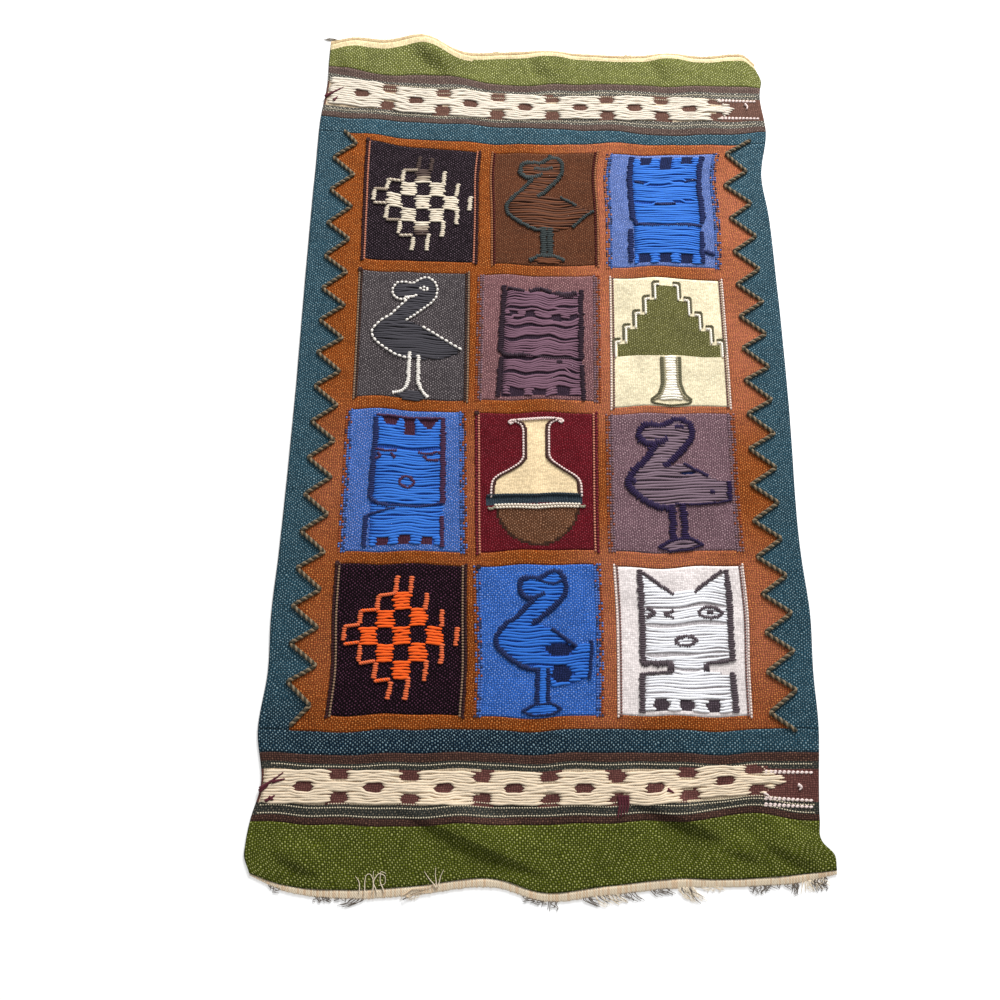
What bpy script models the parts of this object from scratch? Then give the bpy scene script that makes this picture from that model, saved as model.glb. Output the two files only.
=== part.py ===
"""Hand-woven wool tapestry lying on a flat surface, with a raw warp header at each end.

The tapestry is one web of cloth. It lies flat over most of its length and lifts in a few soft
creases near its two ends. Its outline is as uneven as a hand loom leaves it: the far end is the
narrower one, and the rows of weft climb towards its left side.
+Y runs along the warp from the near end to the far end, +X across it, and +Z up.
The underside rests on z = 0. All sizes are in metres.
"""

import math

import bmesh
import bpy
import numpy as np

# Driving dimensions of the cloth
CLOTH_LENGTH = 1.000
CLOTH_THICKNESS = 0.0020
NEAR_EDGE_Y = -0.5055
COLUMNS = 44
ROWS = 43

# Headers: the undyed strip of bare warp ends beyond the coloured cloth
HEADER_GAP = 0.0003
HEADER_THICKNESS = 0.0015
HEADER_DEPTH = {"near": 0.0095, "far": 0.0070}

# Loose warp ends
STRAND_WIDTH = 0.0012
STRAND_TIP = 0.0007
STRAND_STEPS = 3

# Side edges. Columns: station along the cloth from its near edge, left edge x, right edge x
SIDES = np.array([
    (0.000, -0.3070, 0.3085),
    (0.018, -0.3085, 0.3070),
    (0.034, -0.3080, 0.2960),
    (0.065, -0.3045, 0.2945),
    (0.100, -0.2955, 0.2965),
    (0.157, -0.3020, 0.3010),
    (0.220, -0.2950, 0.3000),
    (0.280, -0.2950, 0.3015),
    (0.350, -0.2905, 0.2965),
    (0.530, -0.2820, 0.2960),
    (0.700, -0.2770, 0.2925),
    (0.780, -0.2740, 0.2890),
    (0.825, -0.2720, 0.2840),
    (0.890, -0.2690, 0.2940),
    (0.940, -0.2625, 0.2895),
    (0.975, -0.2620, 0.2925),
    (1.000, -0.2610, 0.2860),
])

# Climb of the weft rows. Columns: station, rise at the left edge, rise at the right edge
ROW_CLIMB = np.array([
    (0.00, 0.000, 0.000),
    (0.34, 0.000, 0.000),
    (0.52, 0.006, -0.002),
    (0.70, 0.006, -0.008),
    (0.86, 0.018, -0.001),
    (1.00, 0.020, -0.003),
])

# Waves of the near edge. Columns: share of the width from the left, shift towards the far end
NEAR_WAVES = np.array([
    (0.00, 0.008),
    (0.06, 0.004),
    (0.17, -0.003),
    (0.27, 0.000),
    (0.43, 0.006),
    (0.49, -0.005),
    (0.60, 0.000),
    (0.74, 0.008),
    (0.80, 0.007),
    (0.90, 0.010),
    (1.00, 0.016),
])

# Waves of the far edge, in the same columns
FAR_WAVES = np.array([
    (0.00, -0.004),
    (0.05, 0.003),
    (0.13, 0.000),
    (0.22, 0.018),
    (0.30, -0.004),
    (0.40, 0.000),
    (0.50, 0.003),
    (0.60, -0.004),
    (0.72, -0.005),
    (0.79, 0.003),
    (0.94, -0.002),
    (1.00, -0.016),
])
NEAR_WAVE_FADE = 0.075
FAR_WAVE_FADE = 0.055

# The cloth lies quite flat wherever it would lift by less than this
FLAT_BELOW = 0.0001

# Creases that lift off the surface. Columns: crest centre x, y, heading in degrees,
# half length, run of the steep side, run of the gentle side, height
CREASES = np.array([
    (-0.069, -0.4645, -22.6, 0.095, 0.018, 0.048, 0.0095),
    (0.150, -0.439, -23.5, 0.062, 0.018, 0.034, 0.0075),
    (0.262, -0.459, -32.0, 0.062, 0.018, 0.036, 0.0080),
    (0.212, -0.470, -18.0, 0.030, 0.013, 0.022, 0.0035),
    (-0.252, -0.481, -24.0, 0.038, 0.014, 0.030, 0.0050),
    (-0.125, 0.4995, -41.0, 0.050, 0.022, 0.040, 0.0080),
    (0.020, 0.4850, -60.0, 0.038, 0.022, 0.040, 0.0045),
    (0.172, 0.4830, -60.0, 0.038, 0.022, 0.040, 0.0050),
    (-0.235, 0.4900, -75.0, 0.034, 0.018, 0.030, 0.0035),
])

# Share of the grid's rows reached at each station, closer where the creases are
ROW_SPACING = np.array([
    (0.00, 0.000),
    (0.28, 0.115),
    (0.74, 0.885),
    (1.00, CLOTH_LENGTH),
])

# Tufts of loose warp ends. Columns: share of the width, spread, number of ends, length, lean
NEAR_TUFTS = (
    (0.040, 0.0100, 3, 0.0060, 0.000),
    (0.135, 0.0160, 6, 0.0070, 0.001),
    (0.180, 0.0160, 5, 0.0075, -0.002),
    (0.275, 0.0200, 5, 0.0050, 0.001),
    (0.484, 0.0320, 9, 0.0080, 0.003),
    (0.612, 0.0400, 12, 0.0110, 0.006),
    (0.686, 0.0150, 3, 0.0060, 0.004),
    (0.745, 0.0200, 7, 0.0150, 0.008),
    (0.790, 0.0150, 3, 0.0070, 0.002),
    (0.865, 0.0150, 4, 0.0075, 0.002),
    (0.928, 0.0080, 3, 0.0110, 0.001),
    (0.962, 0.0200, 8, 0.0140, 0.006),
)
FAR_TUFTS = (
    (0.012, 0.0050, 2, 0.0040, -0.012),
    (0.390, 0.0060, 2, 0.0030, 0.001),
    (0.700, 0.0060, 2, 0.0030, 0.001),
)


def smooth_curve(at, stations, values):
    """Cubic curve through the points of a table, with centred slopes."""
    slopes = np.gradient(values, stations)
    last = len(stations) - 2
    cell = np.clip(np.searchsorted(stations, at, side="right") - 1, 0, last)
    step = stations[cell + 1] - stations[cell]
    part = np.clip((at - stations[cell]) / step, 0.0, 1.0)
    rest = 1.0 - part
    ends = values[cell] * rest ** 2 * (1.0 + 2.0 * part)
    ends = ends + values[cell + 1] * part ** 2 * (3.0 - 2.0 * part)
    return ends + step * part * rest * (slopes[cell] * rest - slopes[cell + 1] * part)


def ease(value, start, stop):
    """0 at start, 1 at stop, with a smooth run between them."""
    part = np.clip((value - start) / (stop - start), 0.0, 1.0)
    return part * part * (3.0 - 2.0 * part)


def crease_height(x, y):
    """Lift of the cloth's underside: each crease is a long bump, steep on one side."""
    height = np.zeros_like(x)
    for centre_x, centre_y, heading, half_length, steep, gentle, crest in CREASES:
        turn = math.radians(heading)
        along = (x - centre_x) * math.cos(turn) + (y - centre_y) * math.sin(turn)
        over = (y - centre_y) * math.cos(turn) - (x - centre_x) * math.sin(turn)
        run = np.where(over < 0.0, steep, gentle)
        lengthwise = np.clip(1.0 - (along / half_length) ** 2, 0.0, 1.0)
        crosswise = np.clip(1.0 - (over / run) ** 2, 0.0, 1.0)
        height = np.maximum(height, crest * lengthwise ** 2 * crosswise ** 2)
    return np.where(height < FLAT_BELOW, 0.0, height)


def lay_cloth(share, station):
    """Point of the underside at a share of the width (0 left, 1 right) and a station."""
    left = smooth_curve(station, SIDES[:, 0], SIDES[:, 1])
    right = smooth_curve(station, SIDES[:, 0], SIDES[:, 2])
    left_climb = smooth_curve(station, ROW_CLIMB[:, 0], ROW_CLIMB[:, 1])
    right_climb = smooth_curve(station, ROW_CLIMB[:, 0], ROW_CLIMB[:, 2])
    near_wave = smooth_curve(share, NEAR_WAVES[:, 0], NEAR_WAVES[:, 1])
    far_wave = smooth_curve(share, FAR_WAVES[:, 0], FAR_WAVES[:, 1])
    x = left + share * (right - left)
    y = NEAR_EDGE_Y + station
    y = y + left_climb * ease(share, 0.40, 0.0) + right_climb * ease(share, 0.60, 1.0)
    y = y + near_wave * ease(station, NEAR_WAVE_FADE, 0.0)
    y = y + far_wave * ease(station, CLOTH_LENGTH - FAR_WAVE_FADE, CLOTH_LENGTH)
    return x, y, crease_height(x, y)


def make_material(name, colour, roughness):
    """Plain yarn finish in one colour."""
    material = bpy.data.materials.new(name)
    material.use_nodes = True
    shader = material.node_tree.nodes["Principled BSDF"]
    shader.inputs["Base Color"].default_value = (*colour, 1.0)
    shader.inputs["Roughness"].default_value = roughness
    shader.inputs["Metallic"].default_value = 0.0
    return material


def add_object(name, bm, material):
    """Puts a finished bmesh into the scene as one named solid."""
    bmesh.ops.recalc_face_normals(bm, faces=bm.faces)
    mesh = bpy.data.meshes.new(name)
    bm.to_mesh(mesh)
    bm.free()
    mesh.materials.append(material)
    piece = bpy.data.objects.new(name, mesh)
    bpy.context.scene.collection.objects.link(piece)
    return piece


def build_cloth():
    """The web: a grid laid along its creases and thickened upwards into one solid."""
    bm = bmesh.new()
    bmesh.ops.create_grid(bm, x_segments=COLUMNS, y_segments=ROWS, size=0.5)
    flat = np.array([vert.co for vert in bm.verts]) + 0.5
    station = np.interp(flat[:, 1], ROW_SPACING[:, 0], ROW_SPACING[:, 1])
    places = np.stack(lay_cloth(flat[:, 0], station), axis=1)
    for vert, place in zip(bm.verts, places):
        vert.co = place
    raised = bmesh.ops.extrude_face_region(bm, geom=bm.faces[:], use_keep_orig=True)
    top = [item for item in raised["geom"] if isinstance(item, bmesh.types.BMVert)]
    bmesh.ops.translate(bm, verts=top, vec=(0.0, 0.0, CLOTH_THICKNESS))
    return add_object("woven_cloth", bm, make_material("wool_web", (0.33, 0.13, 0.05), 0.9))


def cloth_edge(station, shares):
    """The cloth's end edge, read along the straight facets between its grid columns."""
    columns = np.linspace(0.0, 1.0, COLUMNS + 1)
    corners = lay_cloth(columns, np.full(COLUMNS + 1, station))
    return np.stack([np.interp(shares, columns, corner) for corner in corners], axis=1)


def strand_list(tufts, width):
    """Every loose end as share of the width, length and lean, clear of the cloth's columns."""
    strands = []
    reach = 0.75 * STRAND_WIDTH / width
    for centre, spread, count, length, lean in tufts:
        for number in range(count):
            place = centre + spread * ((number + 0.5) / count - 0.5) / width
            column = round(place * COLUMNS) / COLUMNS
            if abs(place - column) < reach:
                place = column + math.copysign(reach, place - column)
            uneven = 0.80 + 0.20 * math.sin(2.4 * number + 40.0 * centre)
            strands.append((place, length * uneven, lean * uneven))
    return strands


def header_shares(strands, width):
    """Section stations of a header: the cloth's columns, and a pair of sections for each strand."""
    half = 0.5 * STRAND_WIDTH / width
    roots = [place + side for place, _, _ in strands for side in (-half, half)]
    return np.array(sorted([*np.linspace(0.0, 1.0, COLUMNS + 1), *roots]))


def draw_strand(bm, face, outward, length, lean):
    """Pulls one loose end out of the header's outer face and lays it down on the surface."""
    root = face.calc_center_median()
    drop = min(vert.co.z for vert in face.verts)
    for step in range(1, STRAND_STEPS + 1):
        part = step / STRAND_STEPS
        face = bmesh.ops.extrude_discrete_faces(bm, faces=[face])["faces"][0]
        middle = face.calc_center_median()
        half_width = 0.5 * (STRAND_WIDTH + (STRAND_TIP - STRAND_WIDTH) * part)
        height = HEADER_THICKNESS + (STRAND_TIP - HEADER_THICKNESS) * part
        floor = drop * (1.0 - part) ** 2
        for vert in face.verts:
            side = math.copysign(half_width, vert.co.x - middle.x)
            upper = vert.co.z > middle.z
            vert.co.x = root.x + lean * part ** 1.5 + side
            vert.co.y = root.y + outward * length * part
            vert.co.z = floor + (height if upper else 0.0)


def build_header(name, station, outward, depth, tufts, material):
    """A raw strip beyond one end of the cloth, parted from it, with its loose ends."""
    corners = cloth_edge(station, np.array([0.0, 1.0]))
    width = corners[1, 0] - corners[0, 0]
    strands = strand_list(tufts, width)
    shares = header_shares(strands, width)
    inner = cloth_edge(station, shares)
    inner[:, 1] += outward * HEADER_GAP
    outer = inner.copy()
    outer[:, 1] += outward * depth
    outer[:, 2] *= 0.5
    rise = np.array([0.0, 0.0, HEADER_THICKNESS])
    profiles = np.stack([inner, inner + rise, outer + rise, outer], axis=1)
    bm = bmesh.new()
    sections = [[bm.verts.new(corner) for corner in profile] for profile in profiles]
    outer_faces = []
    for this, after in zip(sections, sections[1:]):
        sides = [bm.faces.new((this[k], after[k], after[k - 3], this[k - 3])) for k in range(4)]
        outer_faces.append(sides[2])
    bm.faces.new(sections[0])
    bm.faces.new(sections[-1])
    bmesh.ops.recalc_face_normals(bm, faces=bm.faces)
    middles = 0.5 * (shares[:-1] + shares[1:])
    for place, length, lean in strands:
        root_face = outer_faces[int(np.argmin(abs(middles - place)))]
        draw_strand(bm, root_face, outward, length, lean)
    return add_object(name, bm, material)


def clear_scene():
    """Takes every object out of the open scene."""
    for item in list(bpy.data.objects):
        bpy.data.objects.remove(item, do_unlink=True)


def build_tapestry():
    """The web and its two raw headers."""
    clear_scene()
    build_cloth()
    bare_warp = make_material("bare_warp", (0.72, 0.58, 0.42), 0.95)
    build_header("near_header", 0.0, -1.0, HEADER_DEPTH["near"], NEAR_TUFTS, bare_warp)
    build_header("far_header", CLOTH_LENGTH, 1.0, HEADER_DEPTH["far"], FAR_TUFTS, bare_warp)


build_tapestry()
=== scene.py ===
"""Hand-woven wool tapestry lying on a pale floor, with bare warp ends at its two short edges.

One web of wool in plain weave: a rust field with a toothed edge holds twelve woven panels, and
bands of teal, brown, slate, chained cream yarn and moss green close it at both ends.
+X runs across the web, +Y along its warp to the far end, +Z up. Sizes are in metres.
"""
import math

import bpy
import numpy as np
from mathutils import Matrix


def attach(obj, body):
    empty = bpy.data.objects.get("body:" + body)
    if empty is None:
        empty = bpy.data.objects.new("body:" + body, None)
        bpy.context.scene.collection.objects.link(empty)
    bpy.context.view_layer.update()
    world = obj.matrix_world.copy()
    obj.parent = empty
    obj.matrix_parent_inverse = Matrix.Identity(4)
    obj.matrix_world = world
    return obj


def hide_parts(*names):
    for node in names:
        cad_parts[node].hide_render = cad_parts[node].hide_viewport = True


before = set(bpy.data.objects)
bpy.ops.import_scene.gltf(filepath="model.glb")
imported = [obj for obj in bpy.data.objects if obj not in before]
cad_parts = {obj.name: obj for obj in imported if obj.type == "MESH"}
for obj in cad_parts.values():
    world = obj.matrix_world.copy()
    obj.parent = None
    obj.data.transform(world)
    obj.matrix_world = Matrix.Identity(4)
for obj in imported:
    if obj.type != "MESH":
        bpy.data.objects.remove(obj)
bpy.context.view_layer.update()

# ---------------------------------------------------------------------------------------------
# Camera, floor and light. A wide pale floor, one broad soft lamp high beyond the far end and a
# little to the right, and an even white sky that fills the shadows.
# ---------------------------------------------------------------------------------------------
bpy.context.scene.view_settings.view_transform = "Standard"

camera = bpy.data.objects.new("camera", bpy.data.cameras.new("camera"))
camera.data.sensor_width = 36.0
camera.data.lens = 32.4
camera.location = (-0.0417, -0.3307, 1.0002)
camera.rotation_euler = (math.radians(13.325), 0.0, 0.0)
bpy.context.scene.collection.objects.link(camera)
bpy.context.scene.camera = camera


def fill_sockets(node, values):
    """Give the named inputs of a node their values."""
    for socket, value in values.items():
        node.inputs[socket].default_value = value


def soft_lamp(name, place, aim, size, watts):
    """Square area lamp at a place, turned to face a point."""
    lamp = bpy.data.objects.new(name, bpy.data.lights.new(name, "AREA"))
    lamp.data.shape = "SQUARE"
    lamp.data.size = size
    lamp.data.energy = watts
    lamp.location = place
    toward = np.array(aim) - np.array(place)
    flat_run = math.hypot(toward[0], toward[1])
    lamp.rotation_euler = (math.atan2(flat_run, -toward[2]), 0.0,
                           math.atan2(-toward[0], toward[1]))
    bpy.context.scene.collection.objects.link(lamp)


soft_lamp("window", (0.75, 2.10, 1.25), (0.0, 0.10, 0.0), 0.9, 100.0)

sky = bpy.data.worlds.new("even_sky")
sky.use_nodes = True
fill_sockets(sky.node_tree.nodes["Background"],
             {"Color": (1.0, 1.0, 1.0, 1.0), "Strength": 0.42})
bpy.context.scene.world = sky

FLOOR_HALF = 6.0
FLOOR_DROP = 0.0004


def quad_mesh(name, points, quads, threads=None, finish=None, smooth=True):
    """Mesh of four-sided faces from arrays: corner places, corner numbers, thread
    coordinates for each face corner, and the number of each face's finish."""
    mesh = bpy.data.meshes.new(name)
    mesh.vertices.add(len(points))
    mesh.vertices.foreach_set("co", np.ascontiguousarray(points, dtype=np.float32).ravel())
    mesh.loops.add(quads.size)
    mesh.loops.foreach_set("vertex_index", np.ascontiguousarray(quads, dtype=np.int32).ravel())
    mesh.polygons.add(len(quads))
    mesh.polygons.foreach_set("loop_start", np.arange(0, quads.size, 4, dtype=np.int32))
    mesh.polygons.foreach_set("use_smooth", np.full(len(quads), smooth))
    if finish is not None:
        mesh.polygons.foreach_set("material_index", finish.astype(np.int32))
    if threads is not None:
        layer = mesh.uv_layers.new(name="threads")
        layer.data.foreach_set("uv", threads.astype(np.float32).ravel())
    mesh.update(calc_edges=True)
    made = bpy.data.objects.new(name, mesh)
    bpy.context.scene.collection.objects.link(made)
    return made


floor = quad_mesh(
    "pale_floor",
    np.array([(-1, -1, 0), (1, -1, 0), (1, 1, 0), (-1, 1, 0)]) * FLOOR_HALF
    - np.array((0.0, 0.0, FLOOR_DROP)),
    np.array([(0, 1, 2, 3)]))
floor_paint = bpy.data.materials.new("pale_floor")
floor_paint.use_nodes = True
fill_sockets(floor_paint.node_tree.nodes["Principled BSDF"],
             {"Base Color": (0.93, 0.93, 0.93, 1.0), "Roughness": 0.9,
              "Emission Color": (1.0, 1.0, 1.0, 1.0), "Emission Strength": 0.32})
floor.data.materials.append(floor_paint)

# ---------------------------------------------------------------------------------------------
# The web. One cloth of wool wefts beaten over undyed warps, 1.7 mm thick. It lies flat, with a
# few soft creases near its ends. Every area of colour is laid out on the one lattice of rows and
# columns below, so neighbouring areas meet exactly.
# ---------------------------------------------------------------------------------------------
WEB_LENGTH = 1.000
WEB_THICKNESS = 0.0017
NEAR_EDGE_Y = -0.5055

# Station along the web, left edge x, right edge x
SIDES = np.array([
    (0.000, -0.3020, 0.3085), (0.018, -0.3085, 0.3070), (0.034, -0.3080, 0.2960),
    (0.065, -0.3045, 0.2945), (0.100, -0.2955, 0.2965), (0.157, -0.3020, 0.3010),
    (0.220, -0.2950, 0.3000), (0.280, -0.2950, 0.3015), (0.350, -0.2905, 0.2965),
    (0.530, -0.2820, 0.2960), (0.700, -0.2770, 0.2925), (0.780, -0.2740, 0.2890),
    (0.825, -0.2720, 0.2840), (0.890, -0.2690, 0.2940), (0.940, -0.2625, 0.2895),
    (0.975, -0.2620, 0.2925), (1.000, -0.2610, 0.2860)])

# Station, climb of the rows at the left edge, climb at the right edge
ROW_CLIMB = np.array([
    (0.00, 0.000, 0.000), (0.34, 0.000, 0.000), (0.52, 0.006, -0.002),
    (0.70, 0.006, -0.008), (0.86, 0.018, -0.001), (1.00, 0.020, -0.003)])

# Share of the width, shift of the edge towards the far end
NEAR_WAVES = np.array([
    (0.00, 0.013), (0.05, 0.003), (0.17, -0.003), (0.27, 0.000), (0.43, 0.006), (0.49, -0.005),
    (0.60, 0.000), (0.74, 0.008), (0.80, 0.007), (0.90, 0.010), (1.00, 0.016)])
FAR_WAVES = np.array([
    (0.00, -0.003), (0.05, 0.004), (0.13, 0.005), (0.22, 0.018), (0.30, 0.000), (0.40, 0.001),
    (0.50, 0.003), (0.60, -0.001), (0.72, -0.003), (0.79, 0.000), (0.89, -0.002), (0.95, 0.001),
    (0.975, 0.000), (1.00, -0.014)])
NEAR_WAVE_FADE = 0.075
FAR_WAVE_FADE = 0.055

# Crest centre x, y, heading in degrees, half length, steep run, gentle run, height
CREASES = np.array([
    (-0.069, -0.4610, -22.6, 0.100, 0.0068, 0.038, 0.0087),
    (0.150, -0.439, -23.5, 0.066, 0.0075, 0.026, 0.0074),
    (0.262, -0.470, -27.0, 0.052, 0.012, 0.030, 0.0052),
    (0.212, -0.470, -18.0, 0.030, 0.010, 0.020, 0.0035),
    (-0.252, -0.481, -24.0, 0.038, 0.010, 0.025, 0.0044),
    (-0.125, 0.4995, -41.0, 0.050, 0.022, 0.034, 0.0072),
    (0.020, 0.4850, -60.0, 0.038, 0.022, 0.034, 0.0040),
    (0.172, 0.4830, -60.0, 0.038, 0.022, 0.034, 0.0045),
    (-0.235, 0.4900, -75.0, 0.034, 0.018, 0.026, 0.0032)])
FLAT_BELOW = 0.0001

# Softest unevenness of the face: wave lengths across and along, and their phase
SWELLS = np.array([(0.113, 0.171, 0.4), (0.067, -0.095, 2.1), (0.041, 0.058, 4.4)])
SWELL_HEIGHT = 0.00055


def smooth_curve(at, stations, values):
    """Cubic curve through a table's points, with centred slopes."""
    slopes = np.gradient(values, stations)
    cell = np.clip(np.searchsorted(stations, at, side="right") - 1, 0, len(stations) - 2)
    step = stations[cell + 1] - stations[cell]
    part = np.clip((at - stations[cell]) / step, 0.0, 1.0)
    rest = 1.0 - part
    ends = values[cell] * rest ** 2 * (1.0 + 2.0 * part)
    ends = ends + values[cell + 1] * part ** 2 * (3.0 - 2.0 * part)
    return ends + step * part * rest * (slopes[cell] * rest - slopes[cell + 1] * part)


def ease(value, start, stop):
    """0 at start, 1 at stop, with a smooth run between them."""
    part = np.clip((value - start) / (stop - start), 0.0, 1.0)
    return part * part * (3.0 - 2.0 * part)


def underside(share, station):
    """x, y, z of the web's underside at a share of its width and a station along it: straight
    between the two side edges, waved at the ends, and lifted where a crease passes."""
    left = smooth_curve(station, SIDES[:, 0], SIDES[:, 1])
    right = smooth_curve(station, SIDES[:, 0], SIDES[:, 2])
    x = left + share * (right - left)
    y = NEAR_EDGE_Y + station
    y = y + smooth_curve(station, ROW_CLIMB[:, 0], ROW_CLIMB[:, 1]) * ease(share, 0.40, 0.0)
    y = y + smooth_curve(station, ROW_CLIMB[:, 0], ROW_CLIMB[:, 2]) * ease(share, 0.60, 1.0)
    y = y + smooth_curve(share, *NEAR_WAVES.T) * ease(station, NEAR_WAVE_FADE, 0.0)
    y = y + smooth_curve(share, *FAR_WAVES.T) * ease(station, WEB_LENGTH - FAR_WAVE_FADE,
                                                      WEB_LENGTH)
    lift = np.zeros_like(x)
    for crest_x, crest_y, heading, half_length, steep, gentle, crest in CREASES:
        turn = math.radians(heading)
        along = (x - crest_x) * math.cos(turn) + (y - crest_y) * math.sin(turn)
        over = (y - crest_y) * math.cos(turn) - (x - crest_x) * math.sin(turn)
        across = np.clip(1.0 - np.where(over < 0.0, (over / steep) ** 2,
                                        abs(over / gentle) ** 3.5), 0.0, 1.0)
        lift = np.maximum(lift, crest * across ** 2
                          * np.clip(1.0 - (along / half_length) ** 2, 0.0, 1.0) ** 2)
    return x, y, np.where(lift < FLAT_BELOW, 0.0, lift)


def on_web(share, station, lift=0.0):
    """Points over the web's face: underside, thickness, a swell of three crossed waves that
    never dips below the thickness, and a lift of their own."""
    x, y, under = underside(share, station)
    swell = sum(np.sin(2.0 * math.pi * (x / across + y / along) + phase)
                for across, along, phase in SWELLS)
    swell = SWELL_HEIGHT * (swell + len(SWELLS)) / (2.0 * len(SWELLS))
    return np.stack([x, y, under + WEB_THICKNESS + swell + lift], axis=-1)


# The rows of the lattice: stations of the lines where the colour changes, from the near edge,
# and how many of its cells lie between one line and the next; then the same for its columns
ROW_LINES = np.array([
    0.000, 0.062, 0.0695, 0.082, 0.116, 0.124, 0.133, 0.157, 0.172, 0.336, 0.3515, 0.515, 0.531,
    0.692, 0.708, 0.857, 0.871, 0.897, 0.904, 0.910, 0.939, 0.948, 0.957, 1.000])
ROW_CELLS = np.array([24, 3, 5, 13, 3, 4, 9, 6, 63, 6, 63, 6, 62, 6, 58, 5, 10, 3, 3, 11, 3, 3,
                      16])
COLUMN_CELLS = np.array([12, 11, 50, 5, 47, 5, 47, 12, 12])

# The twelve panels, near row first. Shares of the near left, near right, far left and far right
# corners, then their stations
PANEL_CORNERS = {
    (0, 0): (0.118, 0.366, 0.111, 0.361, 0.1746, 0.1718, 0.3380, 0.3355),
    (1, 0): (0.390, 0.610, 0.380, 0.609, 0.1710, 0.1710, 0.3360, 0.3360),
    (2, 0): (0.641, 0.883, 0.639, 0.887, 0.1720, 0.1720, 0.3340, 0.3340),
    (0, 1): (0.119, 0.355, 0.113, 0.341, 0.3510, 0.3510, 0.5150, 0.5170),
    (1, 1): (0.378, 0.614, 0.366, 0.612, 0.3526, 0.3526, 0.5150, 0.5150),
    (2, 1): (0.639, 0.885, 0.636, 0.881, 0.3515, 0.3515, 0.5150, 0.5150),
    (0, 2): (0.117, 0.351, 0.113, 0.349, 0.5310, 0.5310, 0.6930, 0.6930),
    (1, 2): (0.371, 0.613, 0.373, 0.618, 0.5310, 0.5310, 0.6900, 0.6900),
    (2, 2): (0.639, 0.884, 0.645, 0.885, 0.5240, 0.5240, 0.6870, 0.6910),
    (0, 3): (0.115, 0.364, 0.109, 0.367, 0.7080, 0.7080, 0.8620, 0.8570),
    (1, 3): (0.394, 0.625, 0.391, 0.630, 0.7040, 0.7040, 0.8580, 0.8580),
    (2, 3): (0.646, 0.879, 0.655, 0.894, 0.7010, 0.7080, 0.8540, 0.8580)}

# The toothed edges of the rust field: sixteen teeth a side between two corners
TEETH = 16


def toothed_edge(near_corner, far_corner, tip_share, notch_share, tips, notches):
    """Shares and stations of one toothed edge from its near corner to its far one: notches and
    tips by turns, each evenly spaced between the first and the last."""
    stations = np.empty(2 * TEETH + 1)
    stations[0::2] = np.linspace(*notches, TEETH + 1)
    stations[1::2] = np.linspace(*tips, TEETH)
    shares = np.where(np.arange(2 * TEETH + 1) % 2 == 0, notch_share, tip_share)
    return (np.concatenate([near_corner[:1], shares, far_corner[:1]]),
            np.concatenate([near_corner[1:], stations, far_corner[1:]]))


LEFT_TEETH = toothed_edge((0.056, 0.161), (0.058, 0.874), 0.038, 0.088, (0.209, 0.835),
                          (0.184, 0.856))
RIGHT_TEETH = toothed_edge((0.960, 0.154), (0.966, 0.878), 0.966, 0.914, (0.197, 0.833),
                           (0.174, 0.858))

# Wander of the rows: height, waves across, waves along, phase
WANDER = np.array([(0.0012, 3.1, 1.3, 0.5), (0.0008, 5.7, -2.1, 2.0), (0.0005, 9.3, 4.0, 3.6)])
# Places where the rows are pushed up: share, station, reach across, reach along, rise
BULGES = np.array([
    (0.866, 0.064, 0.085, 0.028, 0.0105), (0.30, 0.066, 0.120, 0.020, -0.003),
    (0.000, 0.957, 0.080, 0.018, 0.0070), (0.000, 0.897, 0.220, 0.016, -0.0065),
    (0.285, 0.957, 0.070, 0.018, 0.0070), (0.800, 0.897, 0.260, 0.013, -0.0125),
    (1.000, 0.925, 0.120, 0.040, -0.0036)])


def wander(share, station):
    """How far a row strays from its station: three crossed waves and a few bulges, dying out at
    the web's two ends."""
    stray = sum(height * np.sin(2.0 * math.pi * (across * share + along * station) + phase)
                for height, across, along, phase in WANDER)
    for at_share, at_station, reach_across, reach_along, rise in BULGES:
        stray = stray + rise * np.exp(-((share - at_share) / reach_across) ** 2
                                      - ((station - at_station) / reach_along) ** 2)
    return stray * ease(station, 0.0, 0.04) * ease(station, WEB_LENGTH, WEB_LENGTH - 0.03)


# The lines that the panels lie between: row lines 8 to 15 and column lines 2 to 7. Column lines
# 1 and 8 are the toothed edges, 0 and 9 the web's own
COLUMN_LINES = len(COLUMN_CELLS) + 1
FIRST_ROW_LINE, LAST_ROW_LINE = 8, 15
FIRST_COLUMN_LINE, LAST_COLUMN_LINE = 2, 7


def panel_lines(panel):
    """Near and far row line, then left and right column line, of a panel."""
    near, left = FIRST_ROW_LINE + 2 * panel[1], FIRST_COLUMN_LINE + 2 * panel[0]
    return (near, near + 1), (left, left + 1)


line_shares = np.zeros((len(ROW_LINES), COLUMN_LINES))
line_stations = np.repeat(ROW_LINES[:, None], COLUMN_LINES, axis=1)
line_shares[:, -1] = 1.0
for panel, corners in PANEL_CORNERS.items():
    (near, far), columns = panel_lines(panel)
    for side, column in enumerate(columns):
        line_shares[near:far + 1, column] = corners[side:4:2]
        line_stations[near:far + 1, column] = corners[4 + side::2]
panel_rows = slice(FIRST_ROW_LINE, LAST_ROW_LINE + 1)
panel_columns = slice(FIRST_COLUMN_LINE, LAST_COLUMN_LINE + 1)
line_shares[:FIRST_ROW_LINE, panel_columns] = line_shares[FIRST_ROW_LINE, panel_columns]
line_shares[LAST_ROW_LINE + 1:, panel_columns] = line_shares[LAST_ROW_LINE, panel_columns]
for column in (0, 1):
    line_stations[panel_rows, column] = line_stations[panel_rows, FIRST_COLUMN_LINE]
    line_stations[panel_rows, -1 - column] = line_stations[panel_rows, LAST_COLUMN_LINE]

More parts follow.
